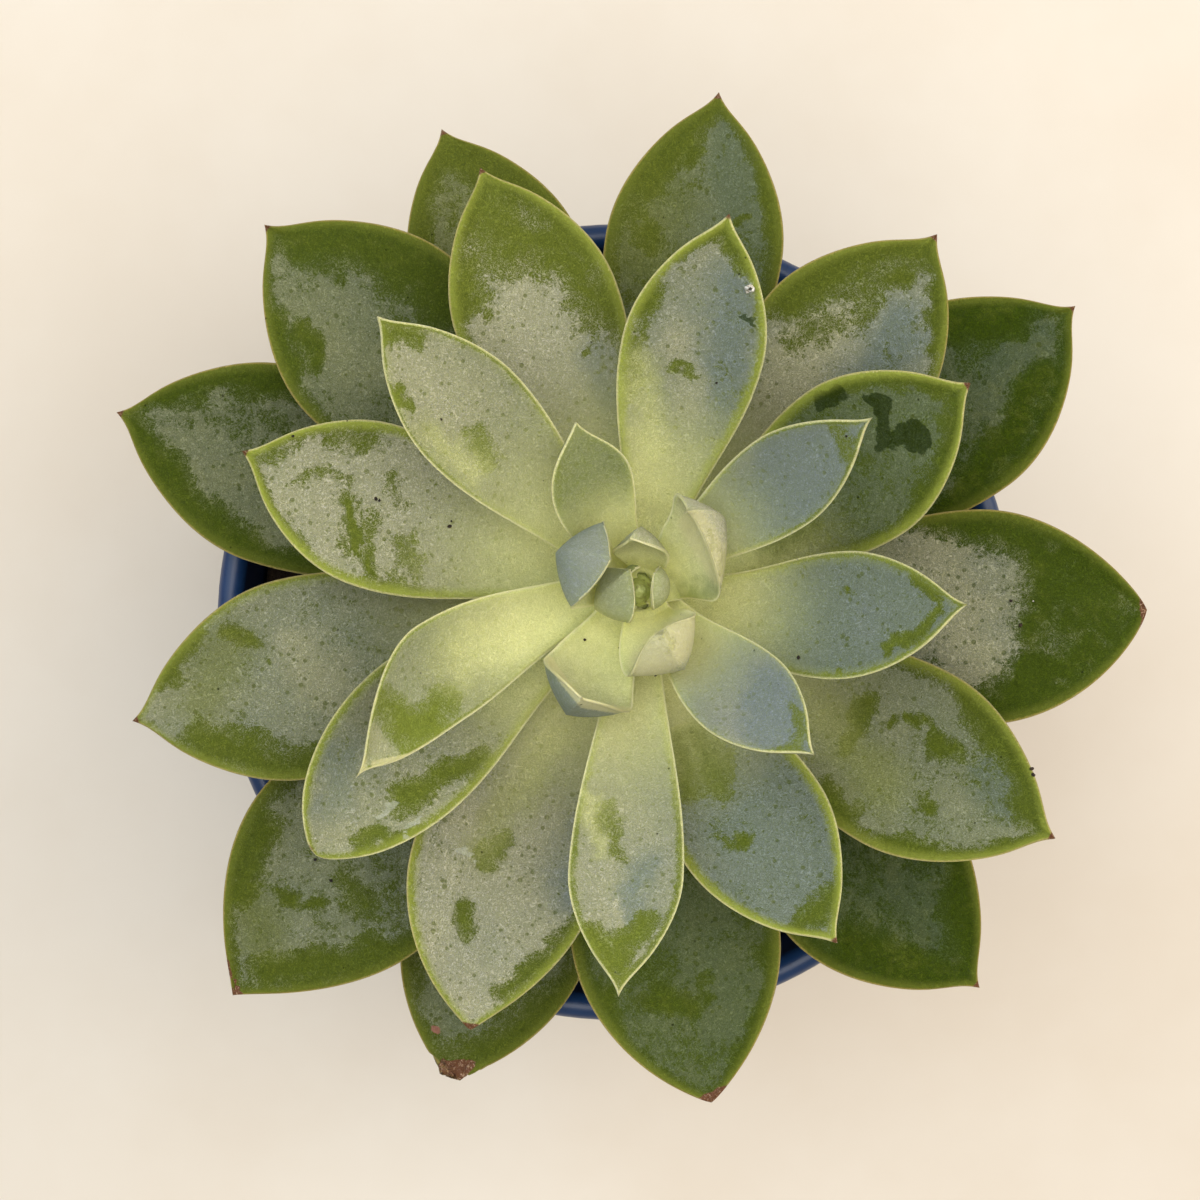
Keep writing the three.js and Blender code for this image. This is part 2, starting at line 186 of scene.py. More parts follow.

# Wear and tints by leaf, the tints partly painted light: kind, reach and the line it follows, in pixels of the view
# from above.
MARKS = {
    0: [
        ("rub", 15, [(412, 185), (408, 238)]), ("rub", 13, [(440, 150), (480, 165), (545, 195)]),
        ("dust", 7, [(432, 195), (438, 240)]),
    ],
    1: [
        ("worn", 18, [(470, 1052), (520, 1035), (570, 1000)]), ("dust", 12, [(415, 1000), (470, 1020)]),
        ("dry", 5, [(444, 1062), (470, 1068)]), ("scar", 4.5, [(431, 1028)]),
    ],
    2: [
        ("rub", 14, [(950, 322), (1005, 322)]), ("rub", 10, [(1040, 370), (1012, 420), (985, 465), (955, 505)]),
        ("rub", 8, [(1068, 380), (1045, 440), (1010, 485)]), ("dust", 16, [(1030, 340), (990, 390)]),
    ],
    3: [
        ("rub", 15, [(140, 440), (185, 505), (260, 570), (330, 590)]), ("rub", 13, [(165, 388), (225, 372), (290, 385)]),
        ("dust", 14, [(150, 430), (230, 480), (290, 540)]),
    ],
    4: [
        ("rub", 14, [(968, 870), (962, 930)]), ("rub", 12, [(850, 935), (900, 965), (965, 975)]),
        ("dust", 16, [(900, 890), (940, 925)]),
    ],
    5: [
        ("rub", 12, [(645, 178), (675, 150), (712, 112)]), ("worn", 7, [(640, 210), (652, 228)]), ("rub", 8, [(646, 240)]), ("pale", 34, [(650, 200), (638, 260)]), ("chalk_and_painted_light", 16, [(650, 215), (648, 240)]), ("rub", 9, [(768, 170), (782, 245)]),
        ("blue", 25, [(745, 150), (760, 250)]), ("dust", 16, [(722, 130), (735, 200), (690, 220)]),
        ("rub", 4, [(746, 214)]),
    ],
    6: [
        ("rub", 14, [(272, 972), (330, 965), (400, 958)]), ("rub", 12, [(262, 825), (242, 890)]),
        ("rub", 4, [(287, 892), (288, 908)]), ("rub", 3.5, [(305, 905), (316, 898)]), ("rub", 5, [(362, 940), (392, 944)]),
        ("pale", 22, [(255, 915), (262, 935)]), ("worn", 10, [(345, 880), (362, 905)]),
        ("dry", 1.3, [(230, 957), (233, 975), (237, 997)]),
    ],
    7: [
        ("rub", 46, [(1088, 590), (1092, 610)]), ("worn", 8, [(1020, 700), (1048, 560)]), ("rub", 17, [(950, 518), (1010, 528), (1055, 555)]),
        ("rub", 20, [(985, 712), (1050, 680), (1090, 650)]), ("chalk_and_painted_light", 40, [(930, 570), (960, 650)]),
        ("dry", 3, [(1150, 597), (1145, 610), (1147, 625)]),
    ],
    8: [
        ("rub", 20, [(300, 235), (365, 238), (425, 275), (450, 300)]), ("rub", 8, [(272, 320), (288, 372)]),
        ("rub", 8, [(303, 330), (316, 362)]), ("dust", 20, [(340, 300), (360, 380)]),
    ],
    9: [
        ("rub", 12, [(780, 960), (775, 1020), (745, 1075)]), ("rub", 8, [(652, 995), (690, 1004)]),
        ("rub", 5, [(702, 975), (706, 995)]), ("rub", 9, [(605, 1000), (612, 1030)]),
        ("dust", 22, [(700, 930), (730, 1030)]), ("dry", 5.5, [(712, 1098), (730, 1090)]),
    ],
    10: [
        ("rub", 17, [(790, 300), (840, 262), (895, 243), (930, 248)]), ("worn", 14, [(790, 350), (850, 315), (870, 290)]),
        ("rub", 9, [(946, 290), (936, 350)]), ("rub", 9, [(895, 275), (912, 268)]), ("blue", 28, [(900, 330), (860, 370)]),
        ("chalk_and_painted_light", 36, [(825, 345), (760, 420)]),
    ],
    11: [
        ("rub", 5, [(228, 634), (246, 642)]), ("rub", 6, [(165, 680), (200, 635)]), ("pale", 26, [(225, 650), (200, 700)]),
        ("rub", 15, [(205, 742), (280, 772), (355, 745)]), ("rub", 3, [(268, 668)]),
        ("chalk_and_painted_light", 26, [(300, 650), (330, 690)]), ("dust", 20, [(300, 650), (280, 700)]),
    ],
    12: [
        ("rub", 15, [(975, 700), (1022, 760), (1042, 820)]), ("rub", 8, [(890, 848), (960, 862), (1030, 852)]),
        ("rub", 6, [(868, 700), (845, 745)]), ("rub", 3, [(890, 718), (932, 725)]), ("rub", 5, [(930, 745), (955, 752)]),
        ("rub", 6, [(932, 805)]), ("rub", 8, [(822, 790), (850, 815)]), ("blue", 18, [(990, 785), (1010, 800)]),
        ("pale", 24, [(830, 720), (880, 790)]), ("dust", 12, [(900, 700), (950, 705)]), ("dark", 3, [(1037, 768), (1040, 776)]),
    ],
    13: [
        ("rub", 32, [(485, 205), (510, 235), (560, 245)]), ("rub", 20, [(560, 250), (600, 310)]), ("rub", 12, [(466, 265), (468, 300)]),
        ("rub", 6, [(490, 315)]), ("chalk_and_painted_light", 40, [(540, 320), (560, 400)]), ("blue", 18, [(590, 350), (610, 400)]),
        ("dust", 14, [(535, 290), (555, 320)]), ("rub", 3.5, [(572, 330)]), ("rub", 3.5, [(586, 352)]),
    ],
    14: [
        ("rub", 13, [(588, 925), (548, 962), (508, 990)]), ("rub", 9, [(463, 912), (465, 925)]), ("rub", 9, [(485, 862), (502, 838)]),
        ("pale", 18, [(480, 850), (520, 790), (545, 740)]), ("chalk_and_painted_light", 20, [(500, 840), (530, 812)]), ("blue", 20, [(575, 830), (570, 890)]),
        ("scratch", 2, [(452, 850), (480, 872)]), ("scar", 3, [(440, 1016), (450, 1020), (461, 1028)]),
    ],
    15: [
        ("dark", 9, [(825, 405), (838, 395)]), ("dark", 5, [(868, 400), (880, 400)]), ("dark", 7, [(882, 405), (884, 440)]),
        ("dark", 8, [(890, 440), (915, 432), (922, 445)]), ("rub", 9, [(962, 400), (950, 470), (915, 520)]),
        ("rub", 9, [(825, 385), (880, 370), (945, 388)]), ("blue", 60, [(840, 500), (900, 440)]), ("rub", 12, [(770, 540), (800, 530)]),
    ],
    16: [
        ("worn", 8, [(300, 480), (325, 478), (348, 484)]), ("worn", 10, [(346, 492), (350, 515), (352, 548)]),
        ("worn", 8, [(399, 478), (396, 495), (402, 508)]), ("worn", 9, [(374, 517), (366, 530), (372, 573)]),
        ("rub", 2.5, [(350, 500), (352, 545)]), ("rub", 2.5, [(362, 560), (370, 571)]), ("rub", 2.5, [(435, 484)]),
        ("worn", 12, [(398, 540), (407, 557), (425, 595)]), ("worn", 9, [(385, 580), (425, 595)]),
        ("worn", 13, [(252, 465), (262, 505), (290, 550)]), ("worn", 12, [(270, 440), (300, 430), (370, 440)]),
        ("chalk_and_painted_light", 50, [(330, 470), (420, 530)]),
    ],
    17: [
        ("rub", 11, [(680, 735), (688, 790)]), ("rub", 9, [(800, 925), (832, 895)]), ("rub", 5, [(745, 838)]), ("blue", 45, [(790, 830), (760, 900)]),
        ("rub", 14, [(700, 735), (716, 775)]), ("worn", 4, [(722, 840), (740, 846)]),
    ],
    18: [
        ("worn", 7, [(640, 325), (630, 400)]), ("rub", 8, [(645, 305), (655, 300)]), ("rub", 12, [(690, 240), (725, 228), (745, 262)]),
        ("pale", 16, [(640, 360), (648, 450)]), ("blue", 30, [(735, 290), (725, 390)]), ("chalk_and_painted_light", 18, [(685, 350), (695, 400)]),
        ("dark", 2.4, [(741, 320), (746, 330), (756, 330)]), ("dark", 1.6, [(748, 319), (757, 320)]), ("rub", 4, [(675, 368), (688, 372)]),
    ],
    19: [
        ("rub", 12, [(400, 795), (425, 785)]), ("rub", 9, [(440, 775), (480, 760)]), ("rub", 7, [(365, 842), (430, 832)]),
        ("scratch", 2.5, [(376, 820), (392, 800)]), ("scratch", 3, [(402, 836), (412, 818)]),
        ("blue", 26, [(330, 800), (350, 760)]), ("pale", 24, [(500, 700), (540, 670)]),
    ],
    20: [
        ("rub", 4, [(915, 575), (940, 602)]), ("rub", 4, [(885, 655), (915, 635), (940, 612)]), ("rub", 4, [(845, 596)]),
        ("rub", 3, [(840, 668)]), ("blue", 45, [(850, 610), (880, 600)]), ("chalk_and_painted_light", 12, [(865, 615), (870, 630)]),
    ],
    21: [
        ("rub", 8, [(384, 330), (412, 335)]), ("rub", 4, [(396, 385), (410, 410)]), ("pale", 15, [(432, 432), (470, 470)]),
        ("chalk_and_painted_light", 30, [(410, 360), (440, 400)]), ("worn", 8, [(470, 430), (490, 460)]),
    ],
    22: [
        ("worn", 9, [(610, 815), (622, 850)]), ("pale", 9, [(592, 800), (600, 850)]), ("rub", 6, [(592, 930), (612, 960)]),
        ("rub", 9, [(640, 930), (618, 940), (622, 965)]), ("blue", 16, [(640, 870), (632, 920)]), ("chalk_and_painted_light", 5, [(616, 925), (622, 900)]),
    ],
    23: [("blue", 32, [(800, 465), (850, 450)]), ("worn", 7, [(836, 430), (850, 455)]), ("worn", 5, [(852, 470), (860, 460)])],
    24: [
        ("pale", 30, [(560, 620), (460, 655)]), ("rub", 7, [(405, 725), (435, 722)]),
        ("worn", 12, [(385, 705), (415, 735), (450, 700)]), ("chalk_and_painted_light", 10, [(372, 735), (385, 755)]),
        ("cream", 4.5, [(372, 695), (363, 722), (360, 750), (361, 775)]), ("cream", 3, [(375, 764), (410, 757), (450, 735)]),
    ],
    27: [("cream", 3.2, [(549, 660), (566, 684), (583, 704), (632, 712)])],
    28: [("blue", 15, [(688, 590), (712, 594)]), ("fleck", 10, [(706, 530), (716, 545), (722, 575)]), ("cream", 12, [(695, 525), (722, 570)])],
    30: [("fleck", 8, [(662, 632), (672, 640), (664, 650)]), ("cream", 16, [(650, 665), (690, 630)])],
    25: [("blue", 28, [(775, 700), (790, 735)]), ("worn", 7, [(798, 712), (800, 738), (775, 750)])],
}


# Bits of soil that lie on leaves: the leaf's rank, the place in pixels of the view and the size in millimetres.
CRUMBS_ON_LEAVES = [
    (7, (1013, 604), 0.3), (7, (1020, 629), 0.36), (16, (293, 436), 0.25), (16, (376, 498), 0.35), (16, (380, 500), 0.25),
    (16, (449, 526), 0.35), (16, (452, 521), 0.2), (20, (797, 657), 0.35), (21, (442, 421), 0.2), (27, (586, 640), 0.3),
    (22, (655, 674), 0.36), (6, (318, 862), 0.3), (6, (330, 880), 0.3), (18, (717, 385), 0.22), (23, (846, 436), 0.2),
    (12, (1034, 775), 0.4), (12, (1033, 769), 0.35),
]
GRAINS_ON_LEAVES = [(18, (749, 288), 0.72), (18, (752, 290), 0.5), (18, (748, 291), 0.4), (7, (1032, 605), 0.14)]


def tint(red, green, blue):
    """A colour given in screen values from 0 to 255, as the linear colour that shaders use."""
    def linear(value):
        share = value / 255
        return share / 12.92 if share <= 0.04045 else ((share + 0.055) / 1.055) ** 2.4
    return (linear(red), linear(green), linear(blue), 1.0)


# --- Settings that a user would change ----------------------------------------------------------------

def colour_setting(name, description, red, green, blue):
    return FloatVectorProperty(
        name=name, description=description, subtype="COLOR", size=4, min=0, max=1,
        default=tint(red, green, blue),
    )


class LeafSettings(bpy.types.PropertyGroup):
    steps_along: IntProperty(name="Steps Along", description="Rings of faces from root to tip", default=100, min=12, max=200)
    steps_across: IntProperty(name="Steps Across", description="Faces over the upper side", default=40, min=8, max=80)
    margin_radius: FloatProperty(
        name="Margin Radius", description="Rounding of a leaf's edge", default=0.35 * MILLIMETRE,
        min=0, max=0.002, unit="LENGTH", precision=5,
    )
    skin_old: colour_setting("Old Skin", "Bare skin of the old leaves", 58, 76, 2)
    skin_young: colour_setting("Young Skin", "Bare skin of the young leaves", 140, 152, 66)
    skin_olive: colour_setting("Olive Skin", "Sun-faded skin of the old leaves", 110, 118, 42)
    # Pale root colour, made bright enough to stand in for light in the crowded heart: partly painted light.
    pale_base_and_painted_light: colour_setting("Leaf Base", "Pale skin at the root of a leaf", 243, 243, 174)
    # Warm and cool bloom are partly painted light: the bloom as lit by the warm lamp and as in shade.
    bloom_warm_and_lit: colour_setting("Warm Bloom", "Bloom with a warm grey", 192, 189, 164)
    bloom_cool_and_shaded: colour_setting("Cool Bloom", "Bloom with a blue grey", 138, 148, 152)
    margin_band: colour_setting("Margin Band", "Yellow-green band inside the rim", 168, 178, 78)
    margin_old: colour_setting("Old Margin", "Thin rim of the old leaves", 160, 142, 84)
    margin_young: colour_setting("Young Margin", "Thin rim of the young leaves", 228, 224, 172)
    dried: colour_setting("Dried Tissue", "Dried tips and torn edges", 104, 70, 50)
    scarred: colour_setting("Healed Scar", "Pink scars", 146, 104, 88)


class PotSettings(bpy.types.PropertyGroup):
    sides: IntProperty(name="Sides", description="Faces round the pot", default=144, min=24, max=400)
    glaze_deep: colour_setting("Deep Glaze", "Glaze where it is thick", 14, 38, 76)
    glaze_thin: colour_setting("Thin Glaze", "Glaze where it runs thin over the lip", 24, 58, 104)
    clay: colour_setting("Clay", "Bare clay under the foot", 176, 150, 122)
    gloss: FloatProperty(name="Roughness", description="Roughness of the glaze", default=0.38, min=0, max=1, subtype="FACTOR")


class SoilSettings(bpy.types.PropertyGroup):
    grains: IntProperty(name="Grains", description="Loose crumbs and bark on the soil", default=1500, min=0, max=6000)
    perlite: IntProperty(name="Perlite", description="White perlite grains among the crumbs", default=60, min=0, max=500)
    earth_dark: colour_setting("Dark Earth", "Moist crumbs", 34, 25, 19)
    earth_light: colour_setting("Light Earth", "Dry crumbs", 68, 52, 38)
    seed: IntProperty(name="Seed", description="Places the grains", default=11, min=0)


class StemSettings(bpy.types.PropertyGroup):
    bark: colour_setting("Bark", "Old corky stem", 104, 88, 60)
    # The young stem is lifted pale, partly painted light on the growing tip that sits in the heart's shade.
    flesh_and_painted_light: colour_setting("Flesh", "Young stem between the leaves", 190, 200, 128)


class StageSettings(bpy.types.PropertyGroup):
    floor_colour: colour_setting("Floor", "Plain pale floor", 220, 211, 198)
    key_power: FloatProperty(name="Key Light", description="Warm light from the right", default=7.6, min=0, unit="POWER")
    fill_power: FloatProperty(name="Fill Light", description="Cool light from the left", default=6.2, min=0, unit="POWER")
    top_power: FloatProperty(name="Top Light", description="Soft light from straight above", default=13, min=0, unit="POWER")
    sky_strength: FloatProperty(name="Sky", description="Strength of the even light", default=0.38, min=0)


# --- Shader sums --------------------------------------------------------------------------------------

class Number:
    """A socket in a material. Python's operators on it add Math nodes."""

    def __init__(self, finish, socket):
        self.finish = finish
        self.socket = socket

    def __add__(self, other):
        return self.finish.math("ADD", self, other)

    __radd__ = __add__

    def __sub__(self, other):
        return self.finish.math("SUBTRACT", self, other)

    def __rsub__(self, other):
        return self.finish.math("SUBTRACT", other, self)

    def __mul__(self, other):
        return self.finish.math("MULTIPLY", self, other)

    __rmul__ = __mul__

    def __truediv__(self, other):
        return self.finish.math("DIVIDE", self, other)

    def __pow__(self, other):
        return self.finish.math("POWER", self, other)

    def most(self, other):
        return self.finish.math("MAXIMUM", self, other)

    def least(self, other):
        return self.finish.math("MINIMUM", self, other)

    def clamped(self):
        return self.most(0).least(1)

    def rise(self, low, high):
        """0 below low, 1 above high and smooth between them."""
        return self.finish.make(
            "ShaderNodeMapRange", {"interpolation_type": "SMOOTHSTEP"},
            {"Value": self, "From Min": low, "From Max": high},
        )

    def fall(self, low, high):
        return 1 - self.rise(low, high)


class Finish:
    """One node material of a Principled shader."""

    def __init__(self, name, **fixed):
        self.material = bpy.data.materials.new(name)
        self.material.use_nodes = True
        self.tree = self.material.node_tree
        self.shader = self.tree.nodes["Principled BSDF"]
        for socket, value in fixed.items():
            self.shader.inputs[socket.replace("_", " ")].default_value = value

    def make(self, kind, settings=None, values=None, out=0):
        """Adds a node: its settings first, then the values or links of its sockets. Gives one output."""
        node = self.tree.nodes.new(kind)
        for name, value in (settings or {}).items():
            setattr(node, name, value)
        for name, value in (values or {}).items():
            self.feed(node.inputs[name], value)
        return Number(self, node.outputs[out])

    def feed(self, socket, value):
        if isinstance(value, Number):
            self.tree.links.new(value.socket, socket)
        else:
            socket.default_value = value

    def set(self, **values):
        for name, value in values.items():
            self.feed(self.shader.inputs[name.replace("_", " ")], value)

    def math(self, operation, first, second):
        return self.make("ShaderNodeMath", {"operation": operation}, {0: first, 1: second})

    def attribute(self, name):
        return self.make("ShaderNodeAttribute", {"attribute_name": name}, out="Vector")

    def parts(self, vector):
        """The three numbers of a vector."""
        first = self.make("ShaderNodeSeparateXYZ", values={0: vector})
        outputs = first.socket.node.outputs
        return [Number(self, outputs[name]) for name in "XYZ"]

    def place(self):
        """The surface point, in metres."""
        return self.make("ShaderNodeTexCoord", out="Object")

    def stretched(self, place, factors):
        return self.make("ShaderNodeVectorMath", {"operation": "MULTIPLY"}, {0: place, 1: factors}, out="Vector")

    def noise(self, place, scale, detail=2.0, roughness=0.5, distortion=0.0):
        return self.make(
            "ShaderNodeTexNoise", {"noise_dimensions": "3D"},
            {"Vector": place, "Scale": scale, "Detail": detail, "Roughness": roughness, "Distortion": distortion},
        )

    def cells(self, place, scale, out="Distance"):
        return self.make("ShaderNodeTexVoronoi", {"feature": "F1"}, {"Vector": place, "Scale": scale}, out=out)

    def mix(self, factor, first, second):
        return self.make(
            "ShaderNodeMix", {"data_type": "RGBA", "blend_type": "MIX"}, {0: factor, 6: first, 7: second}, out=2,
        )

    def shade(self, factor, colour, dark):
        """colour, darkened towards dark times itself."""
        return self.make(
            "ShaderNodeMix", {"data_type": "RGBA", "blend_type": "MULTIPLY"}, {0: factor, 6: colour, 7: dark}, out=2,
        )

    def bump(self, height, distance, strength=1.0, normal=None):
        values = {"Height": height, "Distance": distance, "Strength": strength}
        if normal is not None:
            values["Normal"] = normal
        return self.make("ShaderNodeBump", values=values, out="Normal")


# --- Meshes -------------------------------------------------------------------------------------------

def add_piece(name, points, faces, finish, node=None, smooth=True):
    """A mesh piece from points in millimetres, which rides on the part and stands for a solid if one is named."""
    mesh = bpy.data.meshes.new(name)
    mesh.from_pydata((np.asarray(points, float) * MILLIMETRE).tolist(), [], [list(map(int, face)) for face in faces])
    mesh.validate()
    mesh.polygons.foreach_set("use_smooth", [smooth] * len(mesh.polygons))
    mesh.materials.append(finish.material)
    piece = bpy.data.objects.new(name, mesh)
    bpy.context.scene.collection.objects.link(piece)
    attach(piece, "root")
    if node:
        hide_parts(node)
    return piece


def store(piece, name, vectors):
    attribute = piece.data.attributes.new(name, "FLOAT_VECTOR", "POINT")
    attribute.data.foreach_set("vector", np.asarray(vectors, np.float32).ravel())


def turned(profile, sides, wobble=None):
    """Points and faces of a closed profile of (radius, height), turned round the upright axis."""
    points = []
    faces = []
    rings = []
    for radius, height in profile:
        if radius < 1e-6:
            rings.append([len(points)] * sides)
            points.append((0, 0, height))
            continue
        rings.append(list(range(len(points), len(points) + sides)))
        for side in range(sides):
            angle = 2 * math.pi * side / sides
            extra = wobble(angle, height) if wobble else 0
            points.append(((radius + extra) * math.cos(angle), (radius + extra) * math.sin(angle), height))
    for lower, upper in zip(rings, rings[1:]):
        for side in range(sides):
            after = (side + 1) % sides
            corners = [lower[side], lower[after], upper[after], upper[side]]
            face = [corner for index, corner in enumerate(corners) if corner not in corners[:index]]
            if len(face) > 2:
                faces.append(face)
    return points, faces


def mix(first, second, share):
    return first + (second - first) * share


def step(value, low, high):
    share = np.clip((value - low) / (high - low), 0, 1)
    return share * share * (3 - 2 * share)


# --- Pot ----------------------------------------------------------------------------------------------

def outer_radius(height):
    share = height / POT_HEIGHT
    return mix(FOOT_RADIUS, RIM_RADIUS, mix(share, math.sin(share * math.pi / 2), POT_ROUNDNESS))


def pot_profile():
    heights = np.linspace(FOOT_BEVEL + 1, POT_HEIGHT - WALL, 26)
    profile = [(0, 0), (FOOT_RADIUS - FOOT_BEVEL - 5, 0), (FOOT_RADIUS - FOOT_BEVEL - 0.6, 0)]
    profile += [(outer_radius(0) - 0.9, 0.2), (outer_radius(FOOT_BEVEL) - 0.3, 0.9), (outer_radius(FOOT_BEVEL), FOOT_BEVEL)]
    profile += [(outer_radius(height), height) for height in heights]
    lip = WALL / 2
    for index in range(17):
        angle = math.pi * index / 16
        profile.append((RIM_RADIUS - lip + lip * math.cos(angle), POT_HEIGHT - lip + lip * math.sin(angle)))
    profile += [(outer_radius(height) - WALL, height) for height in reversed(heights) if height > POT_FLOOR + 2]
    profile += [(outer_radius(POT_FLOOR) - WALL, POT_FLOOR), (0, POT_FLOOR)]
    return profile


def glaze_finish(settings):
    finish = Finish("blue_glaze", Coat_Weight=0.15, Coat_Roughness=0.3, IOR=1.45)
    place = finish.place()
    height = finish.parts(place)[2]
    cloud = finish.noise(place, 55, 4, 0.6, 0.4)
    freckle = finish.noise(place, 900, 2)
    thin = (height.rise(0.0965, 0.0998) * 0.75 + (cloud - 0.5) * 0.9).clamped()
    colour = finish.mix(thin, tuple(settings.glaze_deep), tuple(settings.glaze_thin))
    colour = finish.shade(freckle.rise(0.62, 0.7) * 0.35, colour, (0.35, 0.4, 0.5, 1))
    bare = height.fall(0.0008, 0.0016 )
    finish.set(
        Base_Color=finish.mix(bare, colour, tuple(settings.clay)),
        Roughness=bare * 0.6 + (cloud - 0.5) * 0.08 + settings.gloss,
        Normal=finish.bump(finish.noise(place, 160, 2) + freckle * 0.12, 0.00012, 0.5),
    )
    return finish


class SUCCULENT_OT_pot(bpy.types.Operator):
    """Turn the glazed pot with its rounded lip"""
    bl_idname = "succulent.pot"
    bl_label = "Make Pot"

    def execute(self, context):
        settings = context.scene.succulent_pot

        def wobble(angle, height):
            return 0.12 * math.sin(2 * angle + 0.7) + 0.06 * math.sin(5 * angle + height * 0.02)

        points, faces = turned(pot_profile(), settings.sides, wobble)
        add_piece("glazed_pot", points, faces, glaze_finish(settings), "pot")
        return {"FINISHED"}


# --- Soil ---------------------------------------------------------------------------------------------

def soil_height(x, y):
    long = math.sin(x * 0.17 + 1.3) * math.cos(y * 0.15 - 0.4)
    short = math.sin(x * 0.41 - y * 0.23) * math.cos(y * 0.37 + 0.8)
    rough = noise.fractal(Vector((x * 0.35, y * 0.35, 4.0)), 0.9, 2.0, 4)
    return SOIL_TOP + SOIL_BUMP * mix(long, short, 0.4) + 0.55 * rough


def soil_finish(settings):
    finish = Finish("potting_soil", Roughness=0.95)
    place = finish.place()
    lumps = finish.noise(place, 420, 6, 0.7)
    patch = finish.noise(place, 60, 3)
    light = (lumps.rise(0.42, 0.68) * 0.7 + (patch - 0.5)).clamped()
    finish.set(
        Base_Color=finish.mix(light, tuple(settings.earth_dark), tuple(settings.earth_light)),
        Normal=finish.bump(lumps + finish.noise(place, 1500, 3) * 0.4, 0.0009),
    )
    return finish


def perlite_finish():
    finish = Finish("perlite", Roughness=0.85)
    place = finish.place()
    pits = finish.noise(place, 1600, 4, 0.6)
    finish.set(
        Base_Color=finish.mix(pits.rise(0.35, 0.6), tint(204, 192, 176), tint(250, 246, 238)),
        Normal=finish.bump(pits, 0.0004),
    )
    return finish


def lump(chance, centre, size):
    """An uneven crumb: a cube's corners and face middles, pushed about."""
    turn = Vector((chance.gauss(0, 1), chance.gauss(0, 1), chance.gauss(0, 1))).normalized().to_track_quat("Z", "Y")
    points = []
    for row in (-1, 0, 1):
        for side in range(6 if row == 0 else 4):
            angle = 2 * math.pi * (side + chance.uniform(-0.2, 0.2)) / (6 if row == 0 else 4)
            reach = (1.0 if row == 0 else 0.6) * chance.uniform(0.75, 1.2)
            point = Vector((size[0] * reach * math.cos(angle), size[1] * reach * math.sin(angle), size[2] * row * chance.uniform(0.6, 1)))
            points.append(tuple(turn @ point + centre))
    faces = [(3, 2, 1, 0), (10, 11, 12, 13)]
    links = [(0, (4, 5)), (1, (5, 6, 7)), (2, (7, 8)), (3, (8, 9, 4))]
    for base, top in ((0, False), (10, True)):
        for corner, ring in links:
            following = (corner + 1) % 4
            fan = list(ring)
            for first, second in zip(fan, fan[1:]):
                face = (base + corner, first, second)
                faces.append(face if not top else face[::-1])
            last = fan[-1]
            face = (base + corner, last, base + following)
            faces.append(face if not top else face[::-1])
    return points, faces


def scatter(chance, count, smallest, largest, flat):
    """Points and faces of many crumbs that lie half sunk in the soil."""
    points = []
    faces = []
    edge = outer_radius(SOIL_TOP) - WALL - 2.5
    while count:
        x, y = chance.uniform(-edge, edge), chance.uniform(-edge, edge)
        if math.hypot(x, y) > edge or math.hypot(x - STEM_PLACE[0], y - STEM_PLACE[1]) < STEM_RADIUS + 1.5:
            continue
        count -= 1
        size = mix(smallest, largest, chance.random() ** 3)
        centre = Vector((x, y, soil_height(x, y) + size * 0.15))
        more_points, more_faces = lump(chance, centre, (size, size * chance.uniform(0.6, 1), size * flat * chance.uniform(0.6, 1)))
        faces += [[corner + len(points) for corner in face] for face in more_faces]
        points += more_points
    return points, faces


def lying_on_leaves(chance, places, settings):
    """Points and faces of crumbs that lie on the upper sides of leaves."""
    points = []
    faces = []
    for rank, pixel, size in places:
        plan = leaf_plan(rank)
        surface = leaf_surface(plan, settings)[0][:, :settings.steps_across].reshape(-1, 3)
        surface = placed(surface, plan)
        nearest = np.argmin(np.linalg.norm(seen_at(surface) - np.array(pixel), axis=1))
        centre = Vector(surface[nearest]) + Vector((0, 0, size * 0.45))
        more_points, more_faces = lump(chance, centre, (size, size * 0.85, size * 0.75))
        faces += [[corner + len(points) for corner in face] for face in more_faces]
        points += more_points
    return points, faces


class SUCCULENT_OT_soil(bpy.types.Operator):
    """Fill the pot with crumbly soil and a little perlite"""
    bl_idname = "succulent.soil"
    bl_label = "Make Soil"

    def execute(self, context):
        settings = context.scene.succulent_soil
        chance = random.Random(settings.seed)
        bottom = POT_FLOOR + GAP
        edge = outer_radius(SOIL_TOP) - WALL - 2 * GAP
        profile = [(0, bottom), (outer_radius(bottom) - WALL - 2 * GAP, bottom)]
        profile += [(outer_radius(height) - WALL - 2 * GAP, height) for height in (20, 40, 60, 80)]
        rings = 60
        profile += [(edge * (rings - ring) / rings, SOIL_TOP) for ring in range(rings + 1)]
        points, faces = turned(profile, 120)
        points = [(x, y, soil_height(x, y) if z > SOIL_TOP - 0.01 else z) for x, y, z in points]
        finish = soil_finish(settings)
        add_piece("soil_bed", points, faces, finish, "soil")
        points, faces = scatter(chance, settings.grains, 0.35, 1.5, 0.8)
        add_piece("soil_crumbs", points, faces, finish, smooth=False)
        points, faces = scatter(chance, settings.perlite, 0.5, 1.5, 0.9)
        white = perlite_finish()
        add_piece("perlite_grains", points, faces, white, smooth=False)
        leaves = context.scene.succulent_leaves
        points, faces = lying_on_leaves(chance, CRUMBS_ON_LEAVES, leaves)
        add_piece("crumbs_on_leaves", points, faces, finish, smooth=False)
        points, faces = lying_on_leaves(chance, GRAINS_ON_LEAVES, leaves)
        add_piece("grains_on_leaves", points, faces, white)
        return {"FINISHED"}


# --- Stem ---------------------------------------------------------------------------------------------

CROWN_HEIGHT = FIRST_ROOT_HEIGHT - CROWN_DEPTH
STEM_HEAD = FIRST_ROOT_HEIGHT + ROOT_RISE * len(LEAVES)


def stem_radius(height):
    share = min(max((height - CROWN_HEIGHT) / (STEM_HEAD - CROWN_HEIGHT), 0), 1)
    return mix(STEM_RADIUS, GROWING_TIP_RADIUS, share ** STEM_TAPER)


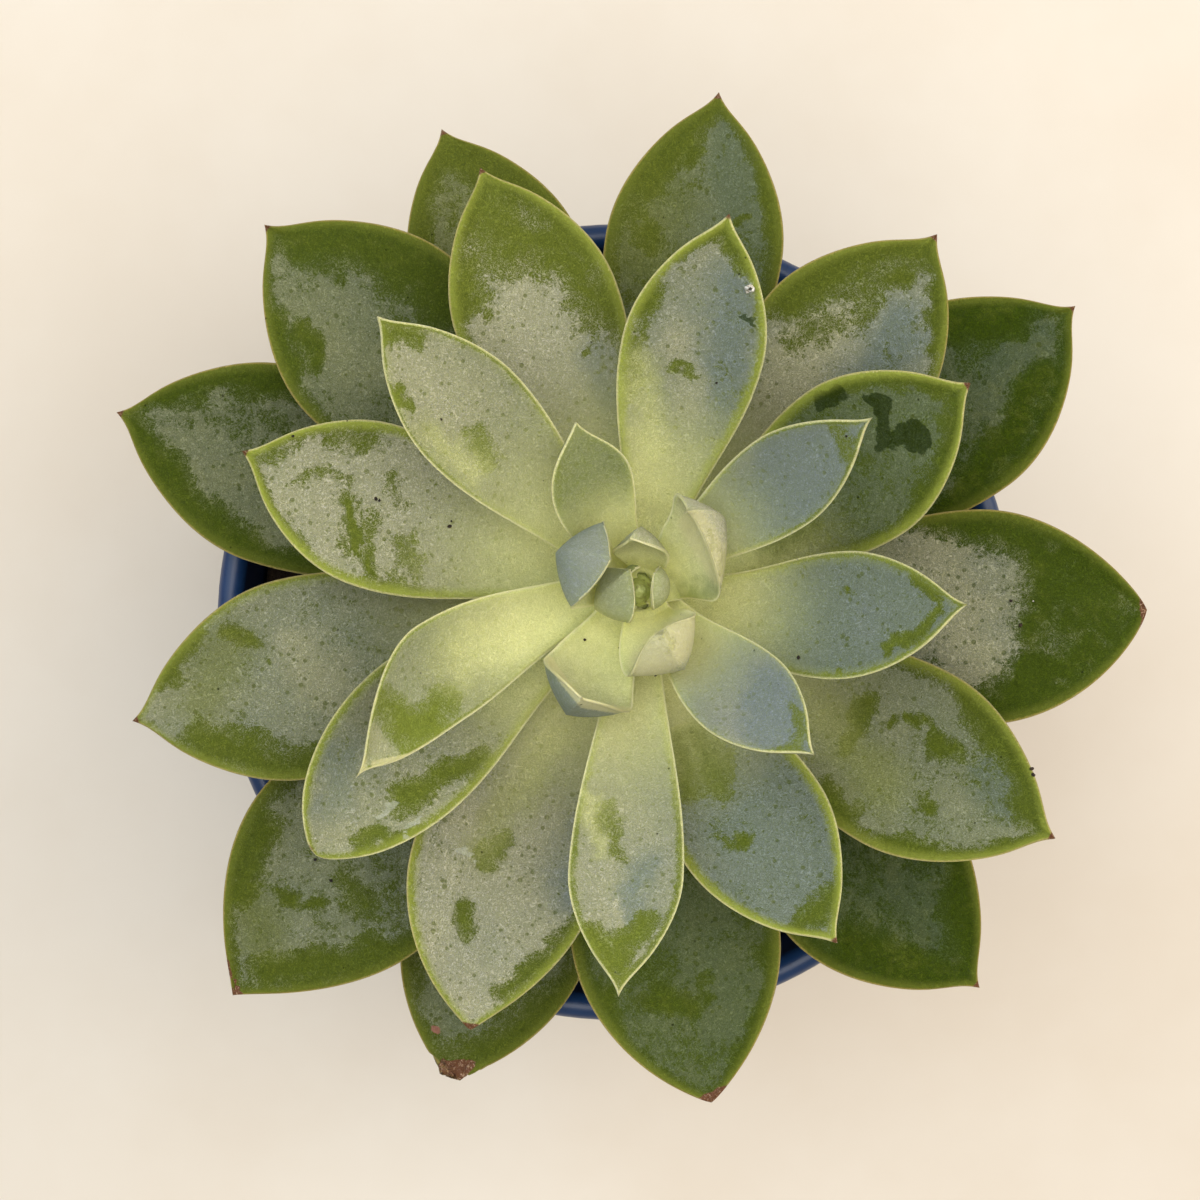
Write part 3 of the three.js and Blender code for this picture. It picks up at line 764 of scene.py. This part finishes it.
def stem_finish(settings):
    finish = Finish("leafy_stem", Roughness=0.75)
    place = finish.place()
    height = finish.parts(place)[2]
    cork = finish.noise(place, 700, 5, 0.65)
    age = (height.fall(0.098, 0.112) + (cork - 0.5) * 0.5).clamped()
    # Pale flesh on the upper stem is partly painted light.
    colour = finish.mix(age, tuple(settings.flesh_and_painted_light), tuple(settings.bark))
    finish.set(
        Base_Color=finish.shade(cork.rise(0.5, 0.66) * 0.6, colour, (0.45, 0.38, 0.3, 1)),
        Normal=finish.bump(cork, 0.0005),
    )
    return finish


class SUCCULENT_OT_stem(bpy.types.Operator):
    """Make the short stem with its leaf scars and growing tip"""
    bl_idname = "succulent.stem"
    bl_label = "Make Stem"

    def execute(self, context):
        foot = SOIL_TOP - STEM_DEPTH
        profile = [(0, foot), (STEM_RADIUS, foot)]
        for height in np.arange(SOIL_TOP - 2 * SCAR_PITCH, CROWN_HEIGHT, 0.3):
            wave = math.cos(2 * math.pi * (height - SOIL_TOP) / SCAR_PITCH)
            profile.append((STEM_RADIUS - SCAR_HEIGHT * (0.5 + 0.5 * wave), height))
        for height in np.linspace(CROWN_HEIGHT, STEM_HEAD, 60)[:-1]:
            profile.append((stem_radius(height), height))
        for index in range(10):
            angle = math.pi / 2 * index / 10
            profile.append((GROWING_TIP_RADIUS * math.cos(angle), STEM_HEAD + GROWING_TIP_LENGTH * math.sin(angle)))
        profile.append((0, STEM_HEAD + GROWING_TIP_LENGTH))
        points, faces = turned(profile, 64, lambda angle, height: 0.12 * math.sin(3 * angle + height * 2.2))
        points = np.array(points) + STEM_PLACE
        add_piece("stem_and_tip", points, faces, stem_finish(context.scene.succulent_stem), "stem")
        return {"FINISHED"}


# --- Leaves -------------------------------------------------------------------------------------------

def leaf_plan(rank):
    """Everything that shapes one leaf: its row, its place in the spiral and how young it is."""
    young = rank / (len(LEAVES) - 1)
    row = dict(swing=0, bow=0, lift=0, curl=0, curl_at=0.6, roll=0, point=1)
    row.update({name: mix(OLD[name], YOUNG[name], young) for name in ("droop", "cup", "widest")})
    row.update(skew=0, lean_from=0.45, hollow=TIP_HOLLOW, crumple=0, keel=0)
    row.update(LEAVES[rank])
    row.update(HEART.get(rank, {}))
    turn = FIRST_TURN + DIVERGENCE * rank
    lean = LEAN_TOWARDS_LIGHT * math.cos(math.radians(turn)) * min(young * 3, 1)
    pitch = ROOT_PITCH + PITCH_GAIN * young + CROWN_PITCH_GAIN * young ** CROWN_PITCH_POWER + lean
    row.update(
        rank=rank, young=young, turn=turn, pitch=pitch + row["lift"],
        height=FIRST_ROOT_HEIGHT + ROOT_RISE * rank,
        bow_angle=math.degrees(math.atan(4 * row["bow"] / row["length"])),
        thickness=min(mix(OLD["thickness"], YOUNG["thickness"], young), GREATEST_THICKNESS_SHARE * row["width"]),
        root_share=mix(OLD["root_share"], YOUNG["root_share"], young ** 2),
    )
    return row


def bend_density(share, start, end):
    within = min(max((share - start) / (end - start), 0), 1)
    return 6 * within * (1 - within) / (end - start)


def spun(vector, axis, angle):
    return vector * math.cos(angle) + np.cross(axis, vector) * math.sin(angle) + axis * np.dot(axis, vector) * (1 - math.cos(angle))


def middle_line(plan):
    """Places, across directions and normals along the leaf's middle, from a frame that turns as it moves on."""
    heading, pitch = math.radians(plan["bow_angle"]), math.radians(plan["pitch"])
    tangent = np.array([math.cos(heading), math.sin(heading), math.tan(pitch)])
    tangent /= np.linalg.norm(tangent)
    across = np.array([-math.sin(heading), math.cos(heading), 0.0])
    centre = np.array([stem_radius(plan["height"]) + ROOT_GAP, 0.0, plan["height"]])
    line = []
    for count in range(CURVE_STEPS + 1):
        normal = np.cross(tangent, across)
        normal /= np.linalg.norm(normal)
        line.append((centre.copy(), across.copy(), normal))
        share = count / CURVE_STEPS
        curl = plan["curl"] * bend_density(share, plan["curl_at"] - CURL_REACH, plan["curl_at"] + CURL_REACH)
        turns = [
            (across.copy(), plan["droop"] - curl),
            (normal, 2 * (plan["swing"] - plan["bow_angle"])),
            (None, plan["roll"] * bend_density(share, 0, ROLL_END)),
        ]
        for axis, degrees in turns:
            axis = tangent.copy() if axis is None else axis
            angle = math.radians(degrees) / CURVE_STEPS
            tangent, across = spun(tangent, axis, angle), spun(across, axis, angle)
        centre = centre + tangent * plan["length"] / CURVE_STEPS
    return [np.array(values) for values in zip(*line)]


def half_width(plan, share):
    swell = (1 - np.cos(np.pi * np.minimum(share, plan["widest"]) / plan["widest"])) / 2
    closing = np.clip((share - plan["widest"]) / (1 - plan["widest"]), 0, 1)
    narrowing = np.where(share < plan["widest"], 1, (1 - closing ** 2) ** plan["point"])
    from_tip = (1 - share) * plan["length"]
    hollow = 1 - plan["hollow"] * np.exp(-(from_tip / TIP_REACH) ** 2)
    return plan["width"] / 2 * mix(plan["root_share"], 1, swell) * narrowing * hollow


def unevenness(plan, share, aside):
    """Slow swells of the leaf's face, in millimetres."""
    seed = plan["rank"] * 7.3
    x, y = share * plan["length"] / 14, aside * plan["width"] / 14
    values = [noise.noise(Vector((a, b, seed))) for a, b in zip(x.ravel(), y.ravel())]
    return np.array(values).reshape(share.shape) * 0.35 * step(share, 0.15, 0.5)


def leaf_surface(plan, settings):
    """Points of the leaf in its own place, with what the finish needs to know about each point."""
    upper, lower = settings.steps_across, settings.steps_across * 2 // 3
    angles = np.concatenate([np.linspace(0, np.pi, upper, endpoint=False), np.linspace(np.pi, 2 * np.pi, lower, endpoint=False)])
    shares = 1 - (1 - np.linspace(0, 1, settings.steps_along + 1)[:-1]) ** 1.15
    share, angle = np.meshgrid(shares, angles, indexing="ij")
    centres, acrosses, normals = middle_line(plan)
    at = shares * CURVE_STEPS
    steps = np.arange(CURVE_STEPS + 1)

    def along(values):
        return np.stack([np.interp(at, steps, values[:, axis]) for axis in range(3)], axis=1)[:, None, :]

    half = half_width(plan, share)
    aside = np.cos(angle)
    thickness = plan["thickness"] * np.sqrt(2 * half / plan["width"])
    keeled = np.where(np.sin(angle) < -1e-6, KEEL_DEPTH * (1 - np.abs(aside)), 0)
    below = mix(np.maximum(0, -np.sin(angle)), keeled, plan["keel"]) * thickness
    rim = settings.margin_radius / MILLIMETRE
    into_rim = np.clip((np.abs(aside) * half - (half - rim)) / rim, 0, 1)
    rounding = np.where(np.sin(angle) >= 0, rim * (1 - np.sqrt(1 - into_rim ** 2 * 0.999)), 0)
    rounding = np.maximum(rounding, np.where(below < rim, rim * step(np.abs(aside), 0.9, 1), 0))
    fold = mix(aside ** 2, np.abs(aside), plan["keel"] * 0.7)
    height = plan["cup"] * half * fold - below - rounding + unevenness(plan, share, aside)
    leaning = plan["skew"] * step(share, plan["lean_from"], 1.05)
    points = along(centres) + along(acrosses) * (half * aside + leaning)[..., None] + along(normals) * height[..., None]
    if plan["crumple"]:
        amount = plan["crumple"] * np.exp(-((1 - share) * plan["length"] / 2.2) ** 2)
        pushes = [noise.noise_vector(Vector(point) * 0.9) for point in points.reshape(-1, 3)]
        points = points + np.array(pushes).reshape(points.shape) * amount[..., None] * 2
    wrapped = wrap_on_stem(points)
    free = step(share, 0, FIRST_FREE_STATION)[..., None]
    points = mix(wrapped, points, free)
    edge = half * (1 - np.abs(aside)) + below * 0.5
    form = np.stack([share, edge, np.full_like(share, plan["young"])], axis=-1)
    side = np.where(np.sin(angle) < -1e-6, 60.0, 0.0)
    place = np.stack([share * plan["length"], half * aside, side + plan["rank"] * 131.0], axis=-1)
    return points, place, form, centres[-1] + acrosses[-1] * plan["skew"] * 0.94


def wrap_on_stem(points):
    """Lays points round the stem, so that a leaf's root sits against it all round."""
    radius = np.vectorize(stem_radius)(points[..., 2]) + ROOT_GAP
    angle = points[..., 1] / radius
    return np.stack([radius * np.cos(angle), radius * np.sin(angle), points[..., 2]], axis=-1)


def placed(points, plan):
    turn = math.radians(plan["turn"])
    spin = np.array([[math.cos(turn), -math.sin(turn), 0], [math.sin(turn), math.cos(turn), 0], [0, 0, 1]])
    return points @ spin.T + STEM_PLACE


def seen_at(points):
    """Where points in millimetres show in the view from above, in pixels."""
    scale = FOCAL_LENGTH / SENSOR_WIDTH * FRAME_SIDE / (VIEW_HEIGHT - points[..., 2])
    middle = FRAME_SIDE / 2
    return np.stack([middle + (points[..., 0] - VIEW_X) * scale, middle - (points[..., 1] - VIEW_Y) * scale], axis=-1)


def strayed(pixels):
    """The same places, pushed about, so that what is painted on them gets an uneven outline."""
    pushes = [noise.noise_vector(Vector((x / 30, y / 30, 1))) * 11 + noise.noise_vector(Vector((x / 10, y / 10, 2))) * 6
              + noise.noise_vector(Vector((x / 4, y / 4, 3))) * 2.5
              for x, y in pixels]
    return pixels + np.array(pushes)[:, :2]


def painted(kind, rank, pixels):
    """How strongly one kind of mark lies on each point: 1 on its line, a half at its radius, 0 at twice that."""
    field = np.zeros(pixels.shape[:-1])
    for name, radius, line in MARKS.get(rank, []):
        if name != kind:
            continue
        nearest = np.full(field.shape, np.inf)
        for start, end in zip(line, line[1:] or line):
            start, run = np.array(start, float), np.array(end, float) - np.array(start, float)
            share = np.clip(((pixels - start) @ run) / max(run @ run, 1e-9), 0, 1)
            nearest = np.minimum(nearest, np.linalg.norm(pixels - start - share[..., None] * run, axis=-1))
        field = np.maximum(field, np.clip(1 - nearest / (2 * radius), 0, 1))
    return field


def leaf_faces(rows, columns):
    faces = []
    for row in range(rows - 1):
        for column in range(columns):
            after = (column + 1) % columns
            faces.append((row * columns + column, row * columns + after, (row + 1) * columns + after, (row + 1) * columns + column))
    tip, root = rows * columns, rows * columns + 1
    for column in range(columns):
        after = (column + 1) % columns
        faces.append(((rows - 1) * columns + column, (rows - 1) * columns + after, tip))
        faces.append((after, column, root))
    return faces


def leaf_finish(settings):
    finish = Finish(
        "waxy_leaf", Subsurface_Weight=0.25, Subsurface_Scale=0.0015, Subsurface_Radius=(1.0, 0.9, 0.3),
        Specular_IOR_Level=0.07,
    )
    place = finish.attribute("leaf_place")
    share, edge, young = finish.parts(finish.attribute("leaf_form"))
    thick, warm, bare_edge = finish.parts(finish.attribute("leaf_bloom"))
    olive, from_tip, back = finish.parts(finish.attribute("leaf_end"))
    rub, dust, dark = finish.parts(finish.attribute("leaf_wear"))
    tints_and_painted_light = finish.parts(finish.attribute("leaf_tints_and_painted_light"))
    dry, scar, scratch = finish.parts(finish.attribute("leaf_scars"))
    worn, fleck, cream = finish.parts(finish.attribute("leaf_thin"))
    broad = finish.noise(place, 0.11, 2)
    ragged = finish.noise(place, 0.4, 7, 0.68, 0.8)
    # Pale and chalk lighten the sides that face the lamp and blue cools those turned from it: partly painted light and
    # shade.
    pale, blue, chalk_and_painted_light = [(field * (ragged * 1.6 + 0.2)).rise(0, 1) for field in tints_and_painted_light]
    grain = finish.noise(place, 1.9, 3, 0.6, 2.2)
    fine = finish.noise(place, 5.0, 2)
    swirl = finish.noise(place, 0.8, 4, 0.6, 3.5)
    curl = finish.noise(place, 1.25, 1.5, 0.5, 2.4) - 0.5

    # Fine curly lines, as on a fingertip. They fade on the smooth roots and on the young leaves.
    root = (share / (young * 0.3 + 0.42)).fall(0.25, 1.05)
    crisp = (1 - root * 0.5) * (1 - young.rise(0.55, 0.85) * 0.4)
    weave = (curl * curl).fall(0.0, 0.004) * 0.7 + grain.rise(0.36, 0.64) * 0.3
    weave = (weave - 0.44) * crisp

    # The bloom is a thin film with a ragged border. It is worn off the margins and where it was rubbed.
    uneven = young.fall(0.5, 0.85) * 0.75 + 0.25
    margin_wear = (1 - (edge / (bare_edge * 1.8 + 0.05)).clamped()) * 0.9
    film = thick * 0.4 + 0.42 + chalk_and_painted_light * 0.2 + dust * 0.3 - margin_wear - rub * 1.3 - worn * 0.75
    film = film + ((broad - 0.5) * 0.7 + (ragged - 0.5) * 1.5 + (swirl - 0.5) * 1.1) * uneven
    body = film.rise(0.26, 0.56)
    haze = film.rise(-0.5, 0.45)
    opaque = thick * 0.72 + 0.14 + chalk_and_painted_light * 0.08
    cover = body * opaque * (weave * 0.55 + 1) + (1 - body) * haze * opaque * (weave * 1.5 + 0.44) * 0.65
    dot_size = finish.noise(place, 0.25, 1) * 0.32
    dots = (finish.cells(place, 0.62) - dot_size).fall(-0.02, 0.06)
    dots = dots.most((finish.cells(place, 1.25) - dot_size).fall(-0.04, 0.05) * 0.7) * young.fall(0.55, 0.95)
    heart = young.rise(0.77, 0.79)
    inside = heart * (1 - back)
    flecks = (grain + (swirl - 0.5) * 0.8 + fleck - 0.5).rise(0.72, 0.95) * fleck.rise(0.0, 0.3)
    # Bloom thins where pale lies and on the heart's inner faces, so the lifted pale shows: partly painted light.
    cover = cover.clamped() * (1 - dots * 0.55) * (1 - inside * 0.55) * (1 - flecks * 0.7) * (1 - root * 0.85) * (1 - pale * 0.6)

    # Skin: dark green where old, yellow-green where young, and pale towards the root, the pale partly painted light
    # that lifts the heart.
    old_skin = finish.mix(olive, tuple(settings.skin_old), tuple(settings.skin_olive))
    skin = finish.mix(young ** 1.5, old_skin, tuple(settings.skin_young))
    # Pale patches turn the skin towards the pale base colour: partly painted light on the lit sides.
    pale_flush_and_painted_light = finish.mix(young.rise(0.25, 0.6), tuple(settings.skin_olive), tuple(settings.pale_base_and_painted_light))
    skin = finish.mix(pale * 0.5, skin, pale_flush_and_painted_light)
    # Pale roots and the heart's inner faces are lifted bright as painted light; blue marks in the heart take it back as
    # painted shade.
    pale_root_and_painted_light = finish.shade(young.fall(0.72, 0.85), tuple(settings.pale_base_and_painted_light), tint(248, 248, 246))
    skin = finish.mix((root * 0.95 * (1 - rub * 0.6)).most(inside * 0.8) * (1 - blue * inside * 0.7), skin, pale_root_and_painted_light)
    skin = finish.mix((ragged - 0.5 + (broad - 0.5) * 0.6).rise(-0.05, 0.2) * (1 - root) * 0.3, skin, tuple(settings.skin_olive))
    skin = finish.shade((0.18 * crisp - weave * 1.3).clamped(), skin, tint(165, 174, 138))
    # The bloom's warmth is partly painted light: warm on lit sides where chalk lies, cool on shaded sides where blue
    # lies.
    warmth_and_painted_light = (warm + chalk_and_painted_light * 0.5 - blue * 0.6 + (broad - 0.5) * 0.8).clamped()
    bloom = finish.mix(warmth_and_painted_light, tuple(settings.bloom_cool_and_shaded), tuple(settings.bloom_warm_and_lit))
    bloom = finish.shade((0.16 * crisp - weave * 0.55).clamped(), bloom, tint(172, 180, 156))
    colour = finish.mix(cover, skin, bloom)
    colour = finish.shade(dots * 0.2, colour, tint(150, 158, 104))
    colour = finish.shade((dark * 1.4 + (ragged - 0.5)).rise(0.42, 0.6) * 0.85, colour, tint(120, 138, 80))

    # The margin turns yellow-green and ends in a thin rim, brownish on old leaves and pale on young ones.
    band = finish.mix(young.rise(0.2, 0.5), tuple(settings.skin_olive), tuple(settings.margin_band))
    band_wide = (edge + (ragged - 0.5) * 0.9).fall(0.2, 2.2) * (1 - young.rise(0.5, 0.65) * 0.8)
    colour = finish.mix(band_wide * 0.62, colour, band)
    rim_colour = finish.mix(young.rise(0.25, 0.65), tuple(settings.margin_old), tuple(settings.margin_young))
    colour = finish.mix((edge + (grain - 0.5) * 0.5).fall(0.05, 0.42) * (0.75 + heart * 0.12), colour, rim_colour)

    colour = finish.mix((cream * 1.5 + (grain - 0.5) * 0.9).rise(0.3, 0.8) * 0.6, colour, tint(208, 202, 152))

    # Small dark specks, dried tips and healed scars.
    speck = finish.cells(place, 0.34).fall(0.03, 0.07) * finish.noise(place, 0.2, 1).rise(0.5, 0.6)
    colour = finish.shade(speck * 0.8, colour, tint(90, 92, 60))
    worn_tip = from_tip.fall(0.3, 1.7) * young.fall(0.45, 0.7)
    tip = (worn_tip + dry * 1.5 + (ragged - 0.5) * 0.8).rise(0.5, 0.75)
    colour = finish.mix(tip, colour, finish.mix(grain.rise(0.52, 0.68), tuple(settings.dried), tint(172, 144, 118)))
    colour = finish.mix((scar * 1.6 + (ragged - 0.5)).rise(0.5, 0.7), colour, tuple(settings.scarred))
    colour = finish.mix((scratch * 1.4 + (grain - 0.5)).rise(0.5, 0.8) * 0.45, colour, tint(190, 194, 178))
    relief = cover * 0.45 - flecks * 0.6 + weave * 0.9 - speck - dots * 0.3 + ragged * 0.5 - tip * 0.8
    finish.set(
        Base_Color=colour,
        Roughness=0.42 + cover * 0.25 + tip * 0.2,
        Normal=finish.bump(relief, 0.00014, 0.9),
    )
    return finish


class SUCCULENT_OT_leaves(bpy.types.Operator):
    """Shape the leaves one by one from the oldest to the youngest"""
    bl_idname = "succulent.leaves"
    bl_label = "Make Leaves"

    def execute(self, context):
        settings = context.scene.succulent_leaves
        finish = leaf_finish(settings)
        for rank in range(len(LEAVES)):
            plan = leaf_plan(rank)
            points, place, form, tip = leaf_surface(plan, settings)
            rows, columns = points.shape[:2]
            points = placed(points.reshape(-1, 3), plan)
            ends = placed(np.array([tip, middle_line(plan)[0][0]]), plan)
            points = np.concatenate([points, ends])
            pixels = seen_at(points)
            pushed = strayed(pixels)
            node = f"leaf_{rank + 1:02d}"
            piece = add_piece(f"fine_{node}", points, leaf_faces(rows, columns), finish, node)
            lengths = [(plan["length"], 0, rank * 131.0), (0, 0, rank * 131.0)]
            store(piece, "leaf_place", np.concatenate([place.reshape(-1, 3), lengths]))
            store(piece, "leaf_form", np.concatenate([form.reshape(-1, 3), [(1, 0, plan["young"]), (0, 2, plan["young"])]]))
            store(piece, "leaf_bloom", np.tile(SKINS[rank][:3], (len(points), 1)))
            from_tip = np.append((1 - form[..., 0].ravel()) * plan["length"], (0, plan["length"]))
            back = np.append(place[..., 2].ravel() - rank * 131.0 > 30, (0, 0))
            store(piece, "leaf_end", np.stack([np.full_like(from_tip, SKINS[rank][3]), from_tip, back], axis=-1))
            for name, kinds in MARK_GROUPS.items():
                fields = [painted(kind, rank, pixels if kind == "cream" else pushed) for kind in kinds]
                store(piece, name, np.stack(fields, axis=-1))
        return {"FINISHED"}


# --- Stage --------------------------------------------------------------------------------------------

FLOOR_RADIUS = 2.5
FLOOR_SIDES = 96


def floor_finish(settings):
    finish = Finish("pale_floor", Roughness=0.7)
    place = finish.place()
    cloud = finish.noise(place, 9, 5, 0.6)
    finish.set(Base_Color=finish.shade(cloud.rise(0.35, 0.7) * 0.5, tuple(settings.floor_colour), tint(242, 236, 228)))
    return finish


def add_area_light(name, place, power, size, colour):
    light = bpy.data.lights.new(name, "AREA")
    light.energy = power
    light.size = size
    light.color = colour
    lamp = bpy.data.objects.new(name, light)
    lamp.location = place
    lamp.rotation_euler = (Vector((0, 0, 0.08)) - Vector(place)).to_track_quat("-Z", "Y").to_euler()
    bpy.context.scene.collection.objects.link(lamp)


class SUCCULENT_OT_stage(bpy.types.Operator):
    """Lay the pale floor, set the soft lights and look straight down"""
    bl_idname = "succulent.stage"
    bl_label = "Make Stage"

    def execute(self, context):
        settings = context.scene.succulent_stage
        mesh = bpy.data.meshes.new("floor")
        turns = [2 * math.pi * side / FLOOR_SIDES for side in range(FLOOR_SIDES)]
        corners = [(FLOOR_RADIUS * math.cos(turn), FLOOR_RADIUS * math.sin(turn), 0) for turn in turns]
        mesh.from_pydata(corners, [], [range(FLOOR_SIDES)])
        mesh.materials.append(floor_finish(settings).material)
        floor = bpy.data.objects.new("floor", mesh)
        context.scene.collection.objects.link(floor)
        add_area_light("key_light", (0.9, 0.38, 0.75), settings.key_power, 1.0, (1.0, 0.9, 0.76))
        add_area_light("fill_light", (-0.7, 0.5, 0.95), settings.fill_power, 1.0, (0.74, 0.88, 1.0))
        add_area_light("top_light", (0.1, -0.05, 1.3), settings.top_power, 1.1, (1.0, 0.96, 0.9))
        world = bpy.data.worlds.new("even_light")
        world.use_nodes = True
        background = world.node_tree.nodes["Background"]
        background.inputs["Color"].default_value = (1.0, 0.97, 0.93, 1)
        background.inputs["Strength"].default_value = settings.sky_strength
        context.scene.world = world
        context.scene.view_settings.view_transform = "Standard"
        camera = bpy.data.cameras.new("view_from_above")
        camera.lens = FOCAL_LENGTH
        camera.sensor_width = SENSOR_WIDTH
        viewer = bpy.data.objects.new("view_from_above", camera)
        viewer.location = (VIEW_X * MILLIMETRE, VIEW_Y * MILLIMETRE, VIEW_HEIGHT * MILLIMETRE)
        context.scene.collection.objects.link(viewer)
        context.scene.camera = viewer
        return {"FINISHED"}


# --- Sidebar and registration -------------------------------------------------------------------------

class SUCCULENT_PT_panel(bpy.types.Panel):
    bl_label = "Potted Succulent"
    bl_idname = "SUCCULENT_PT_panel"
    bl_space_type = "VIEW_3D"
    bl_region_type = "UI"
    bl_category = "Succulent"

    def draw(self, context):
        for group, operator in STEPS:
            box = self.layout.box()
            box.operator(operator)
            settings = getattr(context.scene, group)
            for name in settings.__annotations__:
                box.prop(settings, name)


GROUPS = {
    "succulent_pot": PotSettings,
    "succulent_soil": SoilSettings,
    "succulent_stem": StemSettings,
    "succulent_leaves": LeafSettings,
    "succulent_stage": StageSettings,
}
STEPS = [
    ("succulent_pot", "succulent.pot"),
    ("succulent_soil", "succulent.soil"),
    ("succulent_stem", "succulent.stem"),
    ("succulent_leaves", "succulent.leaves"),
    ("succulent_stage", "succulent.stage"),
]
OPERATORS = [
    SUCCULENT_OT_pot,
    SUCCULENT_OT_soil,
    SUCCULENT_OT_stem,
    SUCCULENT_OT_leaves,
    SUCCULENT_OT_stage,
    SUCCULENT_PT_panel,
]


def register():
    for name, group in GROUPS.items():
        bpy.utils.register_class(group)
        setattr(bpy.types.Scene, name, PointerProperty(type=group))
    for kind in OPERATORS:
        bpy.utils.register_class(kind)


def unregister():
    for kind in reversed(OPERATORS):
        bpy.utils.unregister_class(kind)
    for name, group in reversed(GROUPS.items()):
        delattr(bpy.types.Scene, name)
        bpy.utils.unregister_class(group)


def main():
    register()
    bpy.ops.succulent.pot()
    bpy.ops.succulent.soil()
    bpy.ops.succulent.stem()
    bpy.ops.succulent.leaves()
    bpy.ops.succulent.stage()


if __name__ == "__main__":
    main()
